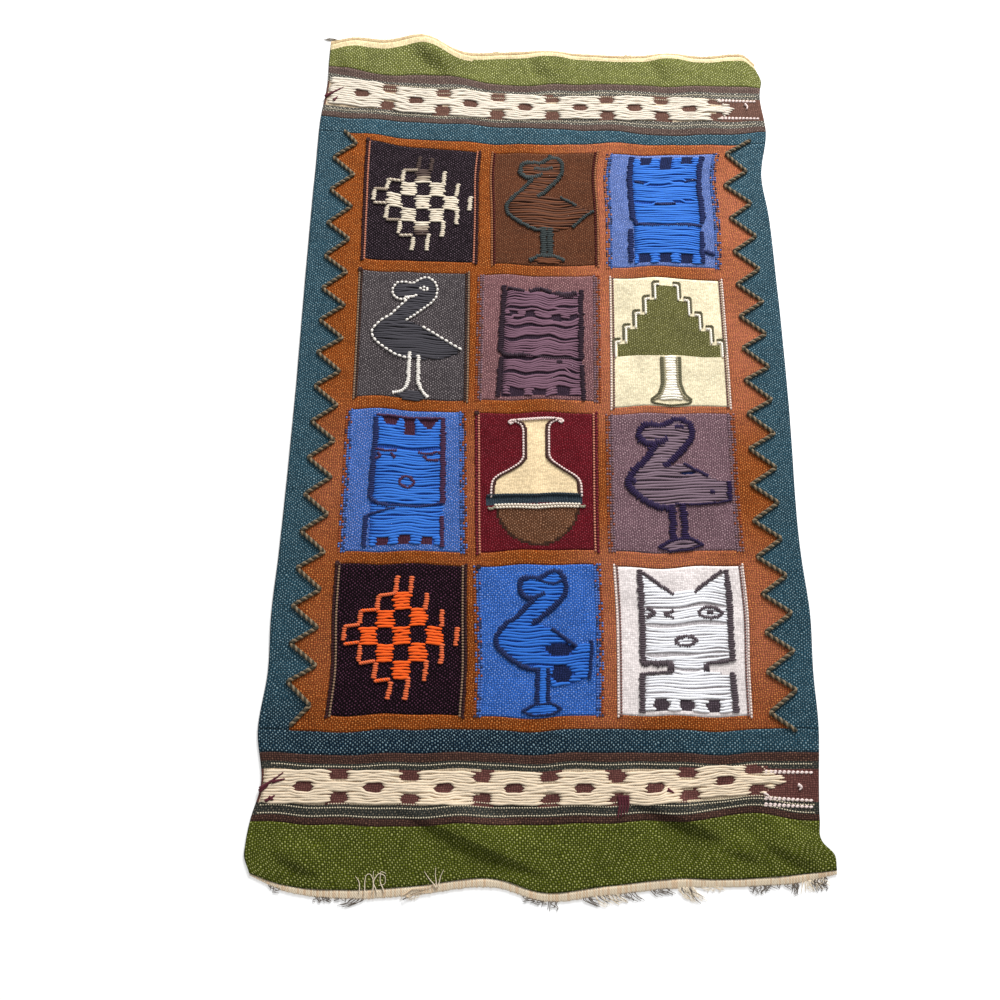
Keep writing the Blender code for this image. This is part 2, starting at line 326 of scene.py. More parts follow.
row_number = np.concatenate([[0], np.cumsum(ROW_CELLS)])
column_number = np.concatenate([[0], np.cumsum(COLUMN_CELLS)])
fine_rows = np.interp(np.arange(row_number[-1] + 1), row_number, np.arange(len(ROW_LINES)))
row_below = np.minimum(fine_rows.astype(int), len(ROW_LINES) - 2)
row_part = (fine_rows - row_below)[:, None]
at_lines = [table[row_below] * (1.0 - row_part) + table[row_below + 1] * row_part
            for table in (line_shares, line_stations)]
at_lines[0][:, 1] = np.interp(at_lines[1][:, 1], LEFT_TEETH[1], LEFT_TEETH[0])
at_lines[0][:, 8] = np.interp(at_lines[1][:, 8], RIGHT_TEETH[1], RIGHT_TEETH[0])
fine_columns = np.interp(np.arange(column_number[-1] + 1), column_number,
                         np.arange(COLUMN_LINES))
column_left = np.minimum(fine_columns.astype(int), COLUMN_LINES - 2)
column_part = fine_columns - column_left
lattice_share, lattice_station = (
    table[:, column_left] * (1.0 - column_part) + table[:, column_left + 1] * column_part
    for table in at_lines)
lattice_station = lattice_station + wander(lattice_share, lattice_station)
lattice_top = on_web(lattice_share, lattice_station)
lattice_under = np.stack(underside(lattice_share, lattice_station), axis=-1)

# The loom's count: warps across the whole web, and how many wefts lie below each station, which
# are beaten closest in the panels
WARPS = 236
WEFTS_UP_TO = ((0.0, 0.0), (0.145, 64.0), (0.34, 167.0), (0.86, 483.0), (1.0, 554.0))


def weave_area(name, cells, dyes, dye_of_cell=None, spots=()):
    """Closed slab of cloth over the chosen cells of the lattice: face and underside the same
    grid, and a wall wherever the next cell isn't part of it. Spots say where the colour moves
    towards a second one, a changed dye in the rust and painted shade in the teal: share,
    station, reach across, reach along and amount of each."""
    row, column = np.nonzero(cells)
    across = lattice_share.shape[1]
    corner = row * across + column
    ring = np.stack([corner, corner + 1, corner + across + 1, corner + across], axis=1)
    total = lattice_share.size
    edges = np.pad(cells, 1)
    beside = np.stack([edges[row, column + 1], edges[row + 1, column + 2],
                       edges[row + 2, column + 1], edges[row + 1, column]], axis=1)
    cell, side = np.nonzero(~beside)
    start, stop = ring[cell, side], ring[cell, (side + 1) % 4]
    walls = np.stack([start + total, stop + total, stop, start], axis=1)
    quads = np.concatenate([ring, ring[:, ::-1] + total, walls])
    used, quads = np.unique(quads, return_inverse=True)
    quads = quads.reshape(-1, 4)
    places = np.concatenate([lattice_top.reshape(-1, 3), lattice_under.reshape(-1, 3)])[used]
    count = np.stack([lattice_share.ravel() * WARPS,
                      np.interp(lattice_station.ravel(), *np.array(WEFTS_UP_TO).T)], axis=1)
    threads = np.concatenate([count, count])[used][quads]
    number = np.zeros(len(row), dtype=int) if dye_of_cell is None else dye_of_cell[row, column]
    finish = np.concatenate([number, number, number[cell]])
    smooth = np.arange(len(quads)) < 2 * len(ring)
    made = quad_mesh(name, places, quads, threads, finish, smooth)
    change = np.zeros(2 * total)
    share, station = (np.tile(table.ravel(), 2) for table in (lattice_share, lattice_station))
    for at_share, at_station, across_reach, along_reach, amount in spots:
        change += amount * np.exp(-((share - at_share) / across_reach) ** 2
                                  - ((station - at_station) / along_reach) ** 2)
    changed = made.data.attributes.new("changed", "FLOAT", "POINT")
    changed.data.foreach_set("value", np.clip(change, 0.0, 1.0)[used].astype(np.float32))
    for dye in dyes:
        made.data.materials.append(dye)
    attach(made, "root")
    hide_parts("woven_cloth")
    return made


def span(rows, columns):
    """The cells between two row lines and two column lines of the lattice."""
    cells = np.zeros((row_number[-1], column_number[-1]), dtype=bool)
    cells[row_number[rows[0]]:row_number[rows[1]],
          column_number[columns[0]]:column_number[columns[1]]] = True
    return cells


def hex_dye(code):
    """Light energies of a colour given as six hex digits."""
    shade = np.array([int(code[k:k + 2], 16) for k in (0, 2, 4)]) / 255.0
    return (*np.where(shade <= 0.04045, shade / 12.92, ((shade + 0.055) / 1.055) ** 2.4), 1.0)


def add_node(tree, kind, *feeds, out=0, **settings):
    """One shader node with its options set and its inputs fed in order, by a socket or a
    value. Gives the socket that comes out of it."""
    node = tree.nodes.new("ShaderNode" + kind)
    for option, value in settings.items():
        setattr(node, option, value)
    for number, feed in enumerate(feeds):
        if isinstance(feed, bpy.types.NodeSocket):
            tree.links.new(feed, node.inputs[number])
        elif feed is not None:
            node.inputs[number].default_value = feed
    return node.outputs[out]


def math_node(tree, operation, *feeds):
    """Arithmetic on one or two numbers."""
    return add_node(tree, "Math", *feeds, operation=operation)


def times(tree, *feeds):
    """Product of two numbers."""
    return math_node(tree, "MULTIPLY", *feeds)


def add_noise(tree, vector, scale, detail, dimensions="2D"):
    """Soft noise over a vector: its outputs are a number and a colour."""
    noise = tree.nodes.new("ShaderNodeTexNoise")
    noise.noise_dimensions = dimensions
    fill_sockets(noise, {"Scale": scale, "Detail": detail})
    tree.links.new(vector, noise.inputs["Vector"])
    return noise.outputs


def scale_colour(tree, colour, amount):
    """A colour times a number."""
    node = tree.nodes.new("ShaderNodeVectorMath")
    node.operation = "SCALE"
    tree.links.new(colour, node.inputs[0])
    tree.links.new(amount, node.inputs["Scale"])
    return node.outputs[0]


def blend_colour(tree, amount, first, second):
    """First colour where the amount is 0, second where it is 1. A mixing node has its amount
    at input 0, its colours at inputs 6 and 7 and the mixed colour at output 2."""
    return add_node(tree, "Mix", amount, *(None,) * 5, first, second, out=2, data_type="RGBA")


def remap(tree, value, low, high, to_low, to_high, kind="LINEAR"):
    """A number carried from one range to another, held at its ends."""
    return add_node(tree, "MapRange", value, low, high, to_low, to_high,
                    interpolation_type=kind)


def new_group(name, inputs, outputs):
    """Empty shader node group with named sockets."""
    group = bpy.data.node_groups.new(name, "ShaderNodeTree")
    for label, kind in inputs:
        group.interface.new_socket(label, in_out="INPUT", socket_type="NodeSocket" + kind)
    for label, kind in outputs:
        group.interface.new_socket(label, in_out="OUTPUT", socket_type="NodeSocket" + kind)
    return group, group.nodes.new("NodeGroupInput"), group.nodes.new("NodeGroupOutput")


# Plain weave: warps and wefts cross in a checkerboard, and where a warp lies over a weft it
# shows as a pale dot. Streaks run with the wefts, because each skein takes the dye differently.
plain_weave, weave_in, weave_out = new_group(
    "plain_weave",
    [("Weft", "Color"), ("Warp", "Color"), ("Warp Show", "Float"), ("Streak", "Float"),
     ("Gap Shade", "Float")],
    [("Color", "Color"), ("Roughness", "Float"), ("Height", "Float")])
tree = plain_weave
thread_map = add_node(tree, "UVMap", uv_map="threads")
uneven = add_noise(tree, thread_map, 0.16, 2.0)
shift = add_node(tree, "VectorMath", uneven[1], (0.5, 0.5, 0.5), operation="SUBTRACT")
shift = add_node(tree, "VectorMath", shift, (2.4, 1.8, 0.0), operation="MULTIPLY")
thread_map = add_node(tree, "VectorMath", thread_map, shift, operation="ADD")
split = tree.nodes.new("ShaderNodeSeparateXYZ")
tree.links.new(thread_map, split.inputs[0])
warp_at, weft_at = split.outputs[0], split.outputs[1]
warp_no, weft_no = math_node(tree, "FLOOR", warp_at), math_node(tree, "FLOOR", weft_at)
warp_over = math_node(tree, "MODULO", math_node(tree, "ADD", warp_no, weft_no), 2.0)
round_warp, round_weft = (
    math_node(tree, "SINE", times(tree, math_node(tree, "FRACT", at), math.pi))
    for at in (warp_at, weft_at))
dome = times(tree, round_warp, round_weft)
height = times(tree, dome, math_node(tree, "MULTIPLY_ADD", warp_over, 0.5, 0.5))
crossing = add_node(tree, "CombineXYZ", warp_no, weft_no, 0.0)
chance = add_node(tree, "TexWhiteNoise", crossing, noise_dimensions="2D")
slim = times(tree, math_node(tree, "POWER", round_warp, 1.8),
             math_node(tree, "POWER", round_weft, 0.7))
dot = remap(tree, slim, 0.12, 0.75, 0.0, 1.0, "SMOOTHSTEP")
dot = times(tree, dot, warp_over)
dot = times(tree, dot, weave_in.outputs["Warp Show"])
dot = times(tree, dot, remap(tree, chance, 0.0, 1.0, 0.35, 1.15))
stretched = add_node(tree, "CombineXYZ", times(tree, warp_at, 0.06), times(tree, weft_at, 0.9),
                     0.0)
streak = add_noise(tree, stretched, 1.0, 3.0)
place = tree.nodes.new("ShaderNodeTexCoord").outputs["Object"]
cloud = add_noise(tree, place, 22.0, 3.0, "3D")
shade = times(tree, math_node(tree, "SUBTRACT", streak[0], 0.5), weave_in.outputs["Streak"])
shade = math_node(tree, "ADD", shade, remap(tree, cloud[0], 0.3, 0.7, 0.86, 1.14))
# Painted shade and highlight: each weft is darker towards its edges, in the gaps between threads,
# and lighter on its crown
shade = times(tree, shade, remap(tree, dome, 0.05, 0.85, weave_in.outputs["Gap Shade"], 1.20))
shade = times(tree, shade, remap(tree, chance, 0.0, 1.0, 0.82, 1.18))
weft_colour = scale_colour(tree, weave_in.outputs["Weft"], shade)
tree.links.new(blend_colour(tree, dot, weft_colour, weave_in.outputs["Warp"]),
               weave_out.inputs["Color"])
tree.links.new(remap(tree, streak[0], 0.3, 0.7, 0.82, 0.96), weave_out.inputs["Roughness"])
tree.links.new(height, weave_out.inputs["Height"])


def thread_finish(name, group, values, looks, relief):
    """Material whose colour, roughness and height come from a group of threads with its own
    values. looks are the shader's sockets; relief is the bump's strength and its distance."""
    made = bpy.data.materials.new(name)
    made.use_nodes = True
    tree = made.node_tree
    shader = tree.nodes["Principled BSDF"]
    fill_sockets(shader, looks)
    threads = tree.nodes.new("ShaderNodeGroup")
    threads.node_tree = group
    fill_sockets(threads, values)
    bump = tree.nodes.new("ShaderNodeBump")
    fill_sockets(bump, {"Strength": relief[0], "Distance": relief[1]})
    for output, socket in (("Color", shader.inputs["Base Color"]),
                           ("Roughness", shader.inputs["Roughness"]),
                           ("Height", bump.inputs["Height"])):
        tree.links.new(threads.outputs[output], socket)
    tree.links.new(bump.outputs[0], shader.inputs["Normal"])
    return made, threads


def wool_weave(name, weft, warp, show=0.9, streak=0.5, gap=0.40, changed=None):
    """Finish of one dyed weft in plain weave over the warp: how far the warp shows, how uneven
    the dye is, how light the painted shade in the gaps between threads is, and the second
    colour that spots carry the weft to: a changed dye in the rust, painted shade in the teal."""
    made, weave = thread_finish(
        name, plain_weave,
        {"Weft": hex_dye(weft), "Warp": hex_dye(warp), "Warp Show": show, "Streak": streak,
         "Gap Shade": gap},
        {"Specular IOR Level": 0.07, "Sheen Weight": 0.02, "Sheen Roughness": 0.6},
        (0.9 - 0.75 * gap, 0.0007))
    if changed:
        tree = made.node_tree
        amount = add_node(tree, "Attribute", attribute_name="changed", out=2)
        mixed = blend_colour(tree, amount, hex_dye(weft), hex_dye(changed))
        tree.links.new(mixed, weave.inputs["Weft"])
    return made


# ---------------------------------------------------------------------------------------------
# Moss green ends. Plain bands of moss-dyed wool at both ends of the web, which carry most of the
# creases; the far one is paler, with part of the glare on the far end painted into its colour.
# ---------------------------------------------------------------------------------------------
near_green = weave_area("near_green", span((0, 1), (0, 9)),
                        [wool_weave("moss_near", "4E560E", "A8AA68", 0.9, 0.5)])
# The last three rows of the far end are bare warps too, beaten flat against its header
bare_rows = np.zeros((row_number[-1], column_number[-1]), dtype=int)
bare_rows[-3:] = 1
bare_rows[-3, column_number[-1] // 3:] = 0
far_green = weave_area("far_green", span((22, 23), (0, 9)),
                       [wool_weave("moss_far", "6C7032", "C4C48E", 0.8, 0.5),
                        wool_weave("bare_warps_far", "D6C49A", "E2D4B0", 0.4, 0.3, 0.80)],
                       bare_rows)

# ---------------------------------------------------------------------------------------------
# Stripes at both ends. Narrow bands of brown and slate wool on either side of the chained band,
# whose ground is maroon under its long cream yarns.
# ---------------------------------------------------------------------------------------------
brown_wool = wool_weave("brown_wool", "4A322C", "745444", 0.8, 0.7)
slate_wool = wool_weave("slate_wool", "3A3C38", "7C7262", 0.8, 0.6)
maroon_ground = wool_weave("maroon_ground", "663E3A", "815E52", 0.5, 0.4, 0.55)
dun_ground = wool_weave("dun_ground", "6A4A3F", "826559", 0.5, 0.4, 0.55)
# Painted shade: the ground under the chained yarns is woven in a darker cream, so the gaps between
# them look shaded
cream_shadow_ground = wool_weave("cream_shadow_ground", "C8B498", "D8C8B0", 0.5, 0.4, 0.7)

# The chained band along the near end and the far one: its level as share and station, half its
# height along the width, how far the middle blocks open and where the outer ones begin as parts
# of that, and the shares of the middle blocks, the far-side ones and the near-side ones
NEAR_CHAIN = ([(0.0, 0.1000), (0.077, 0.1000), (0.25, 0.0980), (0.50, 0.0970), (0.70, 0.0975),
               (0.83, 0.1055), (1.0, 0.1060)],
              [(0.0, 0.0170), (0.70, 0.0170), (0.83, 0.0152), (1.0, 0.0140)],
              0.36, (0.40, -0.34), 0.077 + 0.1258 * np.arange(7),
              (0.139, 0.266, 0.396, 0.516, 0.638, 0.764, 0.884),
              (0.145, 0.271, 0.400, 0.523, 0.646, 0.770, 0.892))
FAR_CHAIN = ([(0.0, 0.9305), (0.085, 0.9270), (0.19, 0.9243), (0.315, 0.9285), (0.457, 0.9238),
              (0.562, 0.9233), (0.703, 0.9230), (0.818, 0.9220), (1.0, 0.9215)],
             [(0.0, 0.0190), (0.085, 0.0192), (0.19, 0.0175), (0.315, 0.0192), (0.457, 0.0182),
              (0.562, 0.0160), (0.703, 0.0178), (0.818, 0.0165), (1.0, 0.0155)],
             0.32, (0.44, -0.28), 0.083 + 0.1253 * np.arange(7),
             tuple(0.1455 + 0.125 * np.arange(7)), tuple(0.1455 + 0.125 * np.arange(7)))
CHAIN_STOP = 0.93


def chain_blocks(chain, rows):
    """Cells of the lattice where the ground shows between the yarns of a chained band: round
    each middle block and at the far-side and near-side ones, then those past its ends."""
    middle, half_height, opening, starts, centres, far_side, near_side = chain
    share, station = (table[row_number[rows[0]]:row_number[rows[1]]] for table in (
        0.5 * (lattice_share[:-1, :-1] + lattice_share[1:, 1:]),
        0.5 * (lattice_station[:-1, :-1] + lattice_station[1:, 1:])))
    above = (station - np.interp(share, *np.array(middle).T)) / np.interp(
        share, *np.array(half_height).T)
    nearest = [abs(share[..., None] - np.array(places)).min(axis=-1)
               for places in (centres, far_side, near_side)]
    bare = (nearest[0] < 0.0185) & (abs(above) < opening)
    bare |= (nearest[1] < 0.0215) & (above > starts[0])
    bare |= (nearest[2] < 0.0215) & (above < starts[1])
    return (bare & (abs(above) < 1.05),
            (share > CHAIN_STOP - 0.050 * abs(above) ** 1.5) | (share < 0.004))


def striped_area(name, first, last, dyes, chain):
    """Area from one row line to another in five stripes, the middle one a darker cream under the
    yarns of its chained band, painted shade of them, and dark between them."""
    number = np.repeat(np.array((0, 1, 2, 1, 0)), ROW_CELLS[first:last])
    dye_of_cell = np.zeros((row_number[-1], column_number[-1]), dtype=int)
    dye_of_cell[row_number[first]:row_number[last]] = number[:, None]
    middle = dye_of_cell[row_number[first + 1]:row_number[first + 4]]
    blocks, ends = chain_blocks(chain, (first + 1, first + 4))
    middle[:] = np.where(blocks | ends & (middle == 2), 2, np.where(middle == 2, 3, middle))
    made = weave_area(name, span((first, last), (0, 9)),
                      [*dyes, cream_shadow_ground], dye_of_cell)


striped_area("near_stripes", 1, 6, [brown_wool, slate_wool, maroon_ground], NEAR_CHAIN)
# Paler brown and slate at the far end: part of the glare there is painted into them
striped_area("far_stripes", 17, 22, [wool_weave("far_glare_brown_wool", "5E4A44", "8E7C70", 0.8, 0.7),
                                     wool_weave("far_glare_slate_wool", "54524C", "C8C0B0", 1.0, 0.6),
                                     dun_ground], FAR_CHAIN)

# ---------------------------------------------------------------------------------------------
# Teal border. A band of teal wool round the field; its inner edge at both sides is toothed.
# ---------------------------------------------------------------------------------------------
teal_wool = wool_weave("teal_wool", "244858", "86A0A8", 0.9, 0.6, 0.40, "0C2436")
# Painted shade: the teal is darkened towards the near end and its left, where less light falls
TEAL_SHADE_SPOTS = ((0.20, 0.145, 0.30, 0.05, 1.0), (0.60, 0.145, 0.25, 0.04, 0.7))
for label, rows, columns in (("teal_near", (6, 7), (0, 9)), ("teal_far", (16, 17), (0, 9)),
                             ("teal_left", (7, 16), (0, 1)), ("teal_right", (7, 16), (8, 9))):
    teal = weave_area(label, span(rows, columns), [teal_wool], spots=TEAL_SHADE_SPOTS)

# ---------------------------------------------------------------------------------------------
# Rust field. The rust-dyed ground between and around the twelve panels.
# ---------------------------------------------------------------------------------------------
rust_wool = wool_weave("rust_wool", "8E420E", "CE8648", 0.9, 0.8, 0.40, "B86A50")
RUST_SPOTS = ((0.75, 0.523, 0.13, 0.03, 1.0), (0.74, 0.343, 0.13, 0.03, 0.8),
              (0.64, 0.80, 0.11, 0.10, 1.0), (0.64, 0.61, 0.09, 0.10, 1.0),
              (0.92, 0.80, 0.10, 0.10, 0.9), (0.92, 0.61, 0.10, 0.10, 1.0),
              (0.36, 0.43, 0.05, 0.08, 0.6), (0.08, 0.43, 0.06, 0.08, 0.6),
              (0.62, 0.25, 0.06, 0.10, 0.9), (0.91, 0.26, 0.09, 0.09, 0.8),
              (0.10, 0.25, 0.05, 0.06, 0.3))
field_cells = span((7, 16), (1, 8))
for panel in PANEL_CORNERS:
    field_cells &= ~span(*panel_lines(panel))
rust_field = weave_area("rust_field", field_cells, [rust_wool], spots=RUST_SPOTS)

# ---------------------------------------------------------------------------------------------
# Toothed edge cords. A cord of two twisted wools, one dark olive and one tan, is sewn down along
# each toothed edge of the rust field and covers the turn of the wefts.
# ---------------------------------------------------------------------------------------------
YARN_SIDES = 6
MILLIMETRES = 1000.0
# Shift in millimetres from one yarn's fibres to the next one's
YARN_SHIFT = 37.0

# Spun yarn: two plies wound together show as slanting ridges, with loose fibres between them.
# Its map runs in millimetres along the yarn, and once round it.
spun_yarn, yarn_in, yarn_out = new_group(
    "spun_yarn", [("Wool", "Color"), ("Ply Length", "Float"), ("Fleece", "Float"),
                  ("Twist", "Float")],
    [("Color", "Color"), ("Roughness", "Float"), ("Height", "Float")])
tree = spun_yarn
split = tree.nodes.new("ShaderNodeSeparateXYZ")
tree.links.new(add_node(tree, "UVMap", uv_map="threads"), split.inputs[0])
turns = math_node(tree, "DIVIDE", split.outputs[0], yarn_in.outputs["Ply Length"])
turns = math_node(tree, "ADD", turns, times(tree, split.outputs[1], 2.0))
ridge = math_node(tree, "ABSOLUTE", math_node(tree, "SINE", times(tree, turns, math.pi)))
untwisted = math_node(tree, "SUBTRACT", 1.0, ridge)
ridge = math_node(tree, "SUBTRACT", 1.0, times(tree, untwisted, yarn_in.outputs["Twist"]))
fibre_map = add_node(tree, "CombineXYZ", times(tree, split.outputs[0], 0.35),
                     times(tree, split.outputs[1], 9.0), 0.0)
fibres = add_noise(tree, fibre_map, 1.0, 4.0)
shade = times(tree, math_node(tree, "SUBTRACT", fibres[0], 0.5), yarn_in.outputs["Fleece"])
# Painted shade in the grooves between the plies, and a little painted highlight on their ridges
shade = math_node(tree, "ADD", shade, remap(tree, ridge, 0.0, 0.8, 0.78, 1.06))
tree.links.new(scale_colour(tree, yarn_in.outputs["Wool"], shade), yarn_out.inputs["Color"])
tree.links.new(remap(tree, fibres[0], 0.3, 0.7, 0.80, 0.95), yarn_out.inputs["Roughness"])
tree.links.new(math_node(tree, "ADD", ridge, times(tree, fibres[0], 0.6)),
               yarn_out.inputs["Height"])


def wool_yarn(name, wool, ply=4.0, fleece=0.5, twist=1.0):
    """Finish of one dyed yarn: the length of one turn of its plies in millimetres, how uneven
    its fibres are and how hard it is spun."""
    return thread_finish(
        name, spun_yarn,
        {"Wool": hex_dye(wool), "Ply Length": ply, "Fleece": fleece, "Twist": twist},
        {"Specular IOR Level": 0.2, "Sheen Weight": 0.06, "Sheen Roughness": 0.5},
        (0.5, 0.0003))[0]


def reach_along(line):
    """Length of each line from its first point to each of its points."""
    lengths = np.linalg.norm(np.diff(line, axis=-2), axis=-1)
    return np.concatenate([np.zeros_like(lengths[..., :1]), np.cumsum(lengths, axis=-1)], axis=-1)


def fill_in(values, times):
    """Values with even ones put in between, so that each gap is cut into so many."""
    place = np.linspace(0, len(values) - 1, times * (len(values) - 1) + 1)
    return np.interp(place, np.arange(len(values)), values)


def crosswise(centres):
    """Level direction square to a line at each of its points."""
    run = np.gradient(centres, axis=-2)
    across = np.stack([-run[..., 1], run[..., 0], np.zeros(run.shape[:-1])], axis=-1)
    return across / (np.linalg.norm(across, axis=-1, keepdims=True) + 1e-12)


def yarn_surface(centres, half_width, half_height, finish):
    """Yarns as tubes: round each point of a centre line runs a flattened ring, centre + across
    times half width times cos turn + up times half height times sin turn, with capped ends.
    Gives the points, faces, thread coordinates and finishes."""
    yarns, steps = centres.shape[:2]
    turn = 2.0 * math.pi * np.arange(YARN_SIDES) / YARN_SIDES
    width = np.broadcast_to(half_width, (yarns, steps))[..., None, None]
    height = np.broadcast_to(half_height, (yarns, steps))[..., None, None]
    points = (centres[:, :, None] + crosswise(centres)[:, :, None] * width * np.cos(turn)[:, None]
              + np.array((0.0, 0.0, 1.0)) * height * np.sin(turn)[:, None])
    number = np.arange(yarns * steps * YARN_SIDES).reshape(yarns, steps, YARN_SIDES)
    after = np.roll(number, -1, axis=2)
    sides = np.stack([number[:, :-1], after[:, :-1], after[:, 1:], number[:, 1:]], axis=-1)
    first, last = number[:, 0], number[:, -1]
    caps = np.concatenate([first[:, [3, 2, 1, 0]], first[:, [5, 4, 3, 0]],
                           last[:, [0, 1, 2, 3]], last[:, [0, 3, 4, 5]]])
    along = MILLIMETRES * reach_along(centres) + YARN_SHIFT * np.arange(yarns)[:, None]
    along = np.repeat(along[:, :, None], YARN_SIDES, axis=2)
    round_it = np.broadcast_to(np.arange(YARN_SIDES) / YARN_SIDES, along.shape)
    side_along = np.stack([along[:, :-1], along[:, :-1], along[:, 1:], along[:, 1:]], axis=-1)
    side_round = round_it[:, :-1, :, None] + np.array((0.0, 1.0, 1.0, 0.0)) / YARN_SIDES
    flat = np.stack([along.ravel(), round_it.ravel()], axis=1)
    threads = np.concatenate([np.stack([side_along, side_round], axis=-1).reshape(-1, 4, 2),
                              flat[caps]])
    quads = np.concatenate([sides.reshape(-1, 4), caps])
    finish = np.broadcast_to(finish, yarns)
    finish = np.concatenate([np.repeat(finish, (steps - 1) * YARN_SIDES), np.tile(
        np.repeat(finish[None], 2, axis=0).reshape(-1), 2)])
    return points.reshape(-1, 3), quads, threads, finish


def lay_yarns(name, surfaces, yarns, node="woven_cloth"):
    """One piece made of several sets of yarns."""
    before = np.cumsum([0] + [len(surface[0]) for surface in surfaces[:-1]])
    made = quad_mesh(
        name, np.concatenate([surface[0] for surface in surfaces]),
        np.concatenate([surface[1] + first for surface, first in zip(surfaces, before)]),
        np.concatenate([surface[2] for surface in surfaces]),
        np.concatenate([surface[3] for surface in surfaces]))
    for yarn in yarns:
        made.data.materials.append(yarn)
    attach(made, "root")
    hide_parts(node)
    return made


def even_steps(share, station, step, rounding=0):
    """The line through places on the web, cut into even steps, its corners eased by averaging
    each point with its neighbours."""
    line = on_web(fill_in(share, 24), fill_in(station, 24))
    reach = reach_along(line)
    marks = np.linspace(0.0, reach[-1], max(int(round(reach[-1] / step)), 4) + 1)
    line = np.stack([np.interp(marks, reach, line[:, axis]) for axis in range(3)], axis=1)
    for _ in range(rounding):
        line[1:-1] = 0.25 * line[:-2] + 0.5 * line[1:-1] + 0.25 * line[2:]
    return line


def twisted_cord(line, radius, lay, finishes, lift=0.0):
    """Two strands wound round one another along a line: each strand's centre circles it once
    in every lay, half a turn from the other."""
    turn = 2.0 * math.pi * reach_along(line) / lay + np.array([[0.0], [math.pi]])
    across = crosswise(line)[None]
    centres = line[None] + across * (0.85 * radius * np.cos(turn))[..., None]
    centres[..., 2] += 0.55 * radius * np.sin(turn) + 0.8 * radius + lift
    taper = np.ones(len(line))
    taper[[0, -1]] = 0.4
    return yarn_surface(centres, radius * taper, 0.9 * radius * taper, np.array(finishes))


tooth_yarns = [wool_yarn("olive_tooth_yarn", "403C30"), wool_yarn("tan_tooth_yarn", "86745C")]
for label, (shares, stations) in (("left", LEFT_TEETH), ("right", RIGHT_TEETH)):
    turned = stations + wander(shares, stations)
    cord = twisted_cord(even_steps(shares, turned, 0.0015, 2), 0.0015, 0.0072, (0, 1))
    lay_yarns(f"tooth_cord_{label}", [cord], tooth_yarns)

# ---------------------------------------------------------------------------------------------
# Panels. Each is woven into the field in its own ground colour. Where a figure needs another
# dye, the weft changes from cell to cell of the lattice, so its edge goes up in small steps.
# ---------------------------------------------------------------------------------------------


def on_panel(panel, u, v):
    """Share and station of a place in a panel: u from its left edge to its right one, v from
    its near edge to its far one."""
    corners = PANEL_CORNERS[panel]
    near_share, near_station = (corners[k] + (corners[k + 1] - corners[k]) * u for k in (0, 4))
    far_share, far_station = (corners[k] + (corners[k + 1] - corners[k]) * u for k in (2, 6))
    share = near_share + (far_share - near_share) * v
    station = near_station + (far_station - near_station) * v
    return share, station + wander(share, station)


def inside(outlines, u, v):
    """True where a level line from the place crosses the outlines an odd number of times."""
    odd = np.zeros(np.broadcast(u, v).shape, dtype=bool)
    for outline in outlines:
        here = np.array(outline)
        after = np.roll(here, -1, axis=0)
        for (u0, v0), (u1, v1) in zip(here, after):
            if v0 != v1:
                odd ^= ((v0 > v) != (v1 > v)) & (u < u0 + (v - v0) * (u1 - u0) / (v1 - v0))
    return odd


def weave_panel(name, panel, dyes, charts=()):
    """One panel of cloth in its ground dye, dyes[0]; chart k puts in dyes[k + 1]."""
    rows, columns = panel_lines(panel)
    tall, wide = ROW_CELLS[rows[0]], COLUMN_CELLS[columns[0]]
    u, v = (np.arange(wide) + 0.5) / wide, (np.arange(tall)[:, None] + 0.5) / tall
    number = np.zeros((tall, wide), dtype=int)
    for dye, outlines in enumerate(charts, start=1):
        number[inside(outlines, u, v)] = dye
    cells = span(rows, columns)
    dye_of_cell = np.zeros(cells.shape, dtype=int)
    dye_of_cell[cells] = number.ravel()
    made = weave_area(name, cells, dyes, dye_of_cell)
    return made


def level_rows(outlines, pitch):
    """Level lines through a figure, a pitch apart: the row of each and where it enters and
    leaves the outlines."""
    tops = [point[1] for outline in outlines for point in outline]
    found = []
    for row in np.arange(min(tops) + 0.5 * pitch, max(tops), pitch):
        crossings = []
        for outline in outlines:
            here = np.array(outline)
            after = np.roll(here, -1, axis=0)
            hit = (here[:, 1] > row) != (after[:, 1] > row)
            rise = (row - here[hit, 1]) / (after[hit, 1] - here[hit, 1])
            crossings.extend(here[hit, 0] + rise * (after[hit, 0] - here[hit, 0]))
        crossings.sort()
        found += [(row, *pair) for pair in zip(crossings[::2], crossings[1::2])
                  if pair[1] - pair[0] > 0.03]
    return np.array(found)


FLOAT_STEPS = 15
FLOAT_PITCH = 0.0200
FLOAT_WIDTH = 0.00170
FLOAT_HEIGHT = 0.0008
# Turns of each loose yarn's own waves, and how far they stray, as a share of the panel
FLOAT_SLACK = ((1, 0.0030), (2, 0.0026), (3, 0.0020), (5, 0.0014))
PARTING_REACH = 0.05


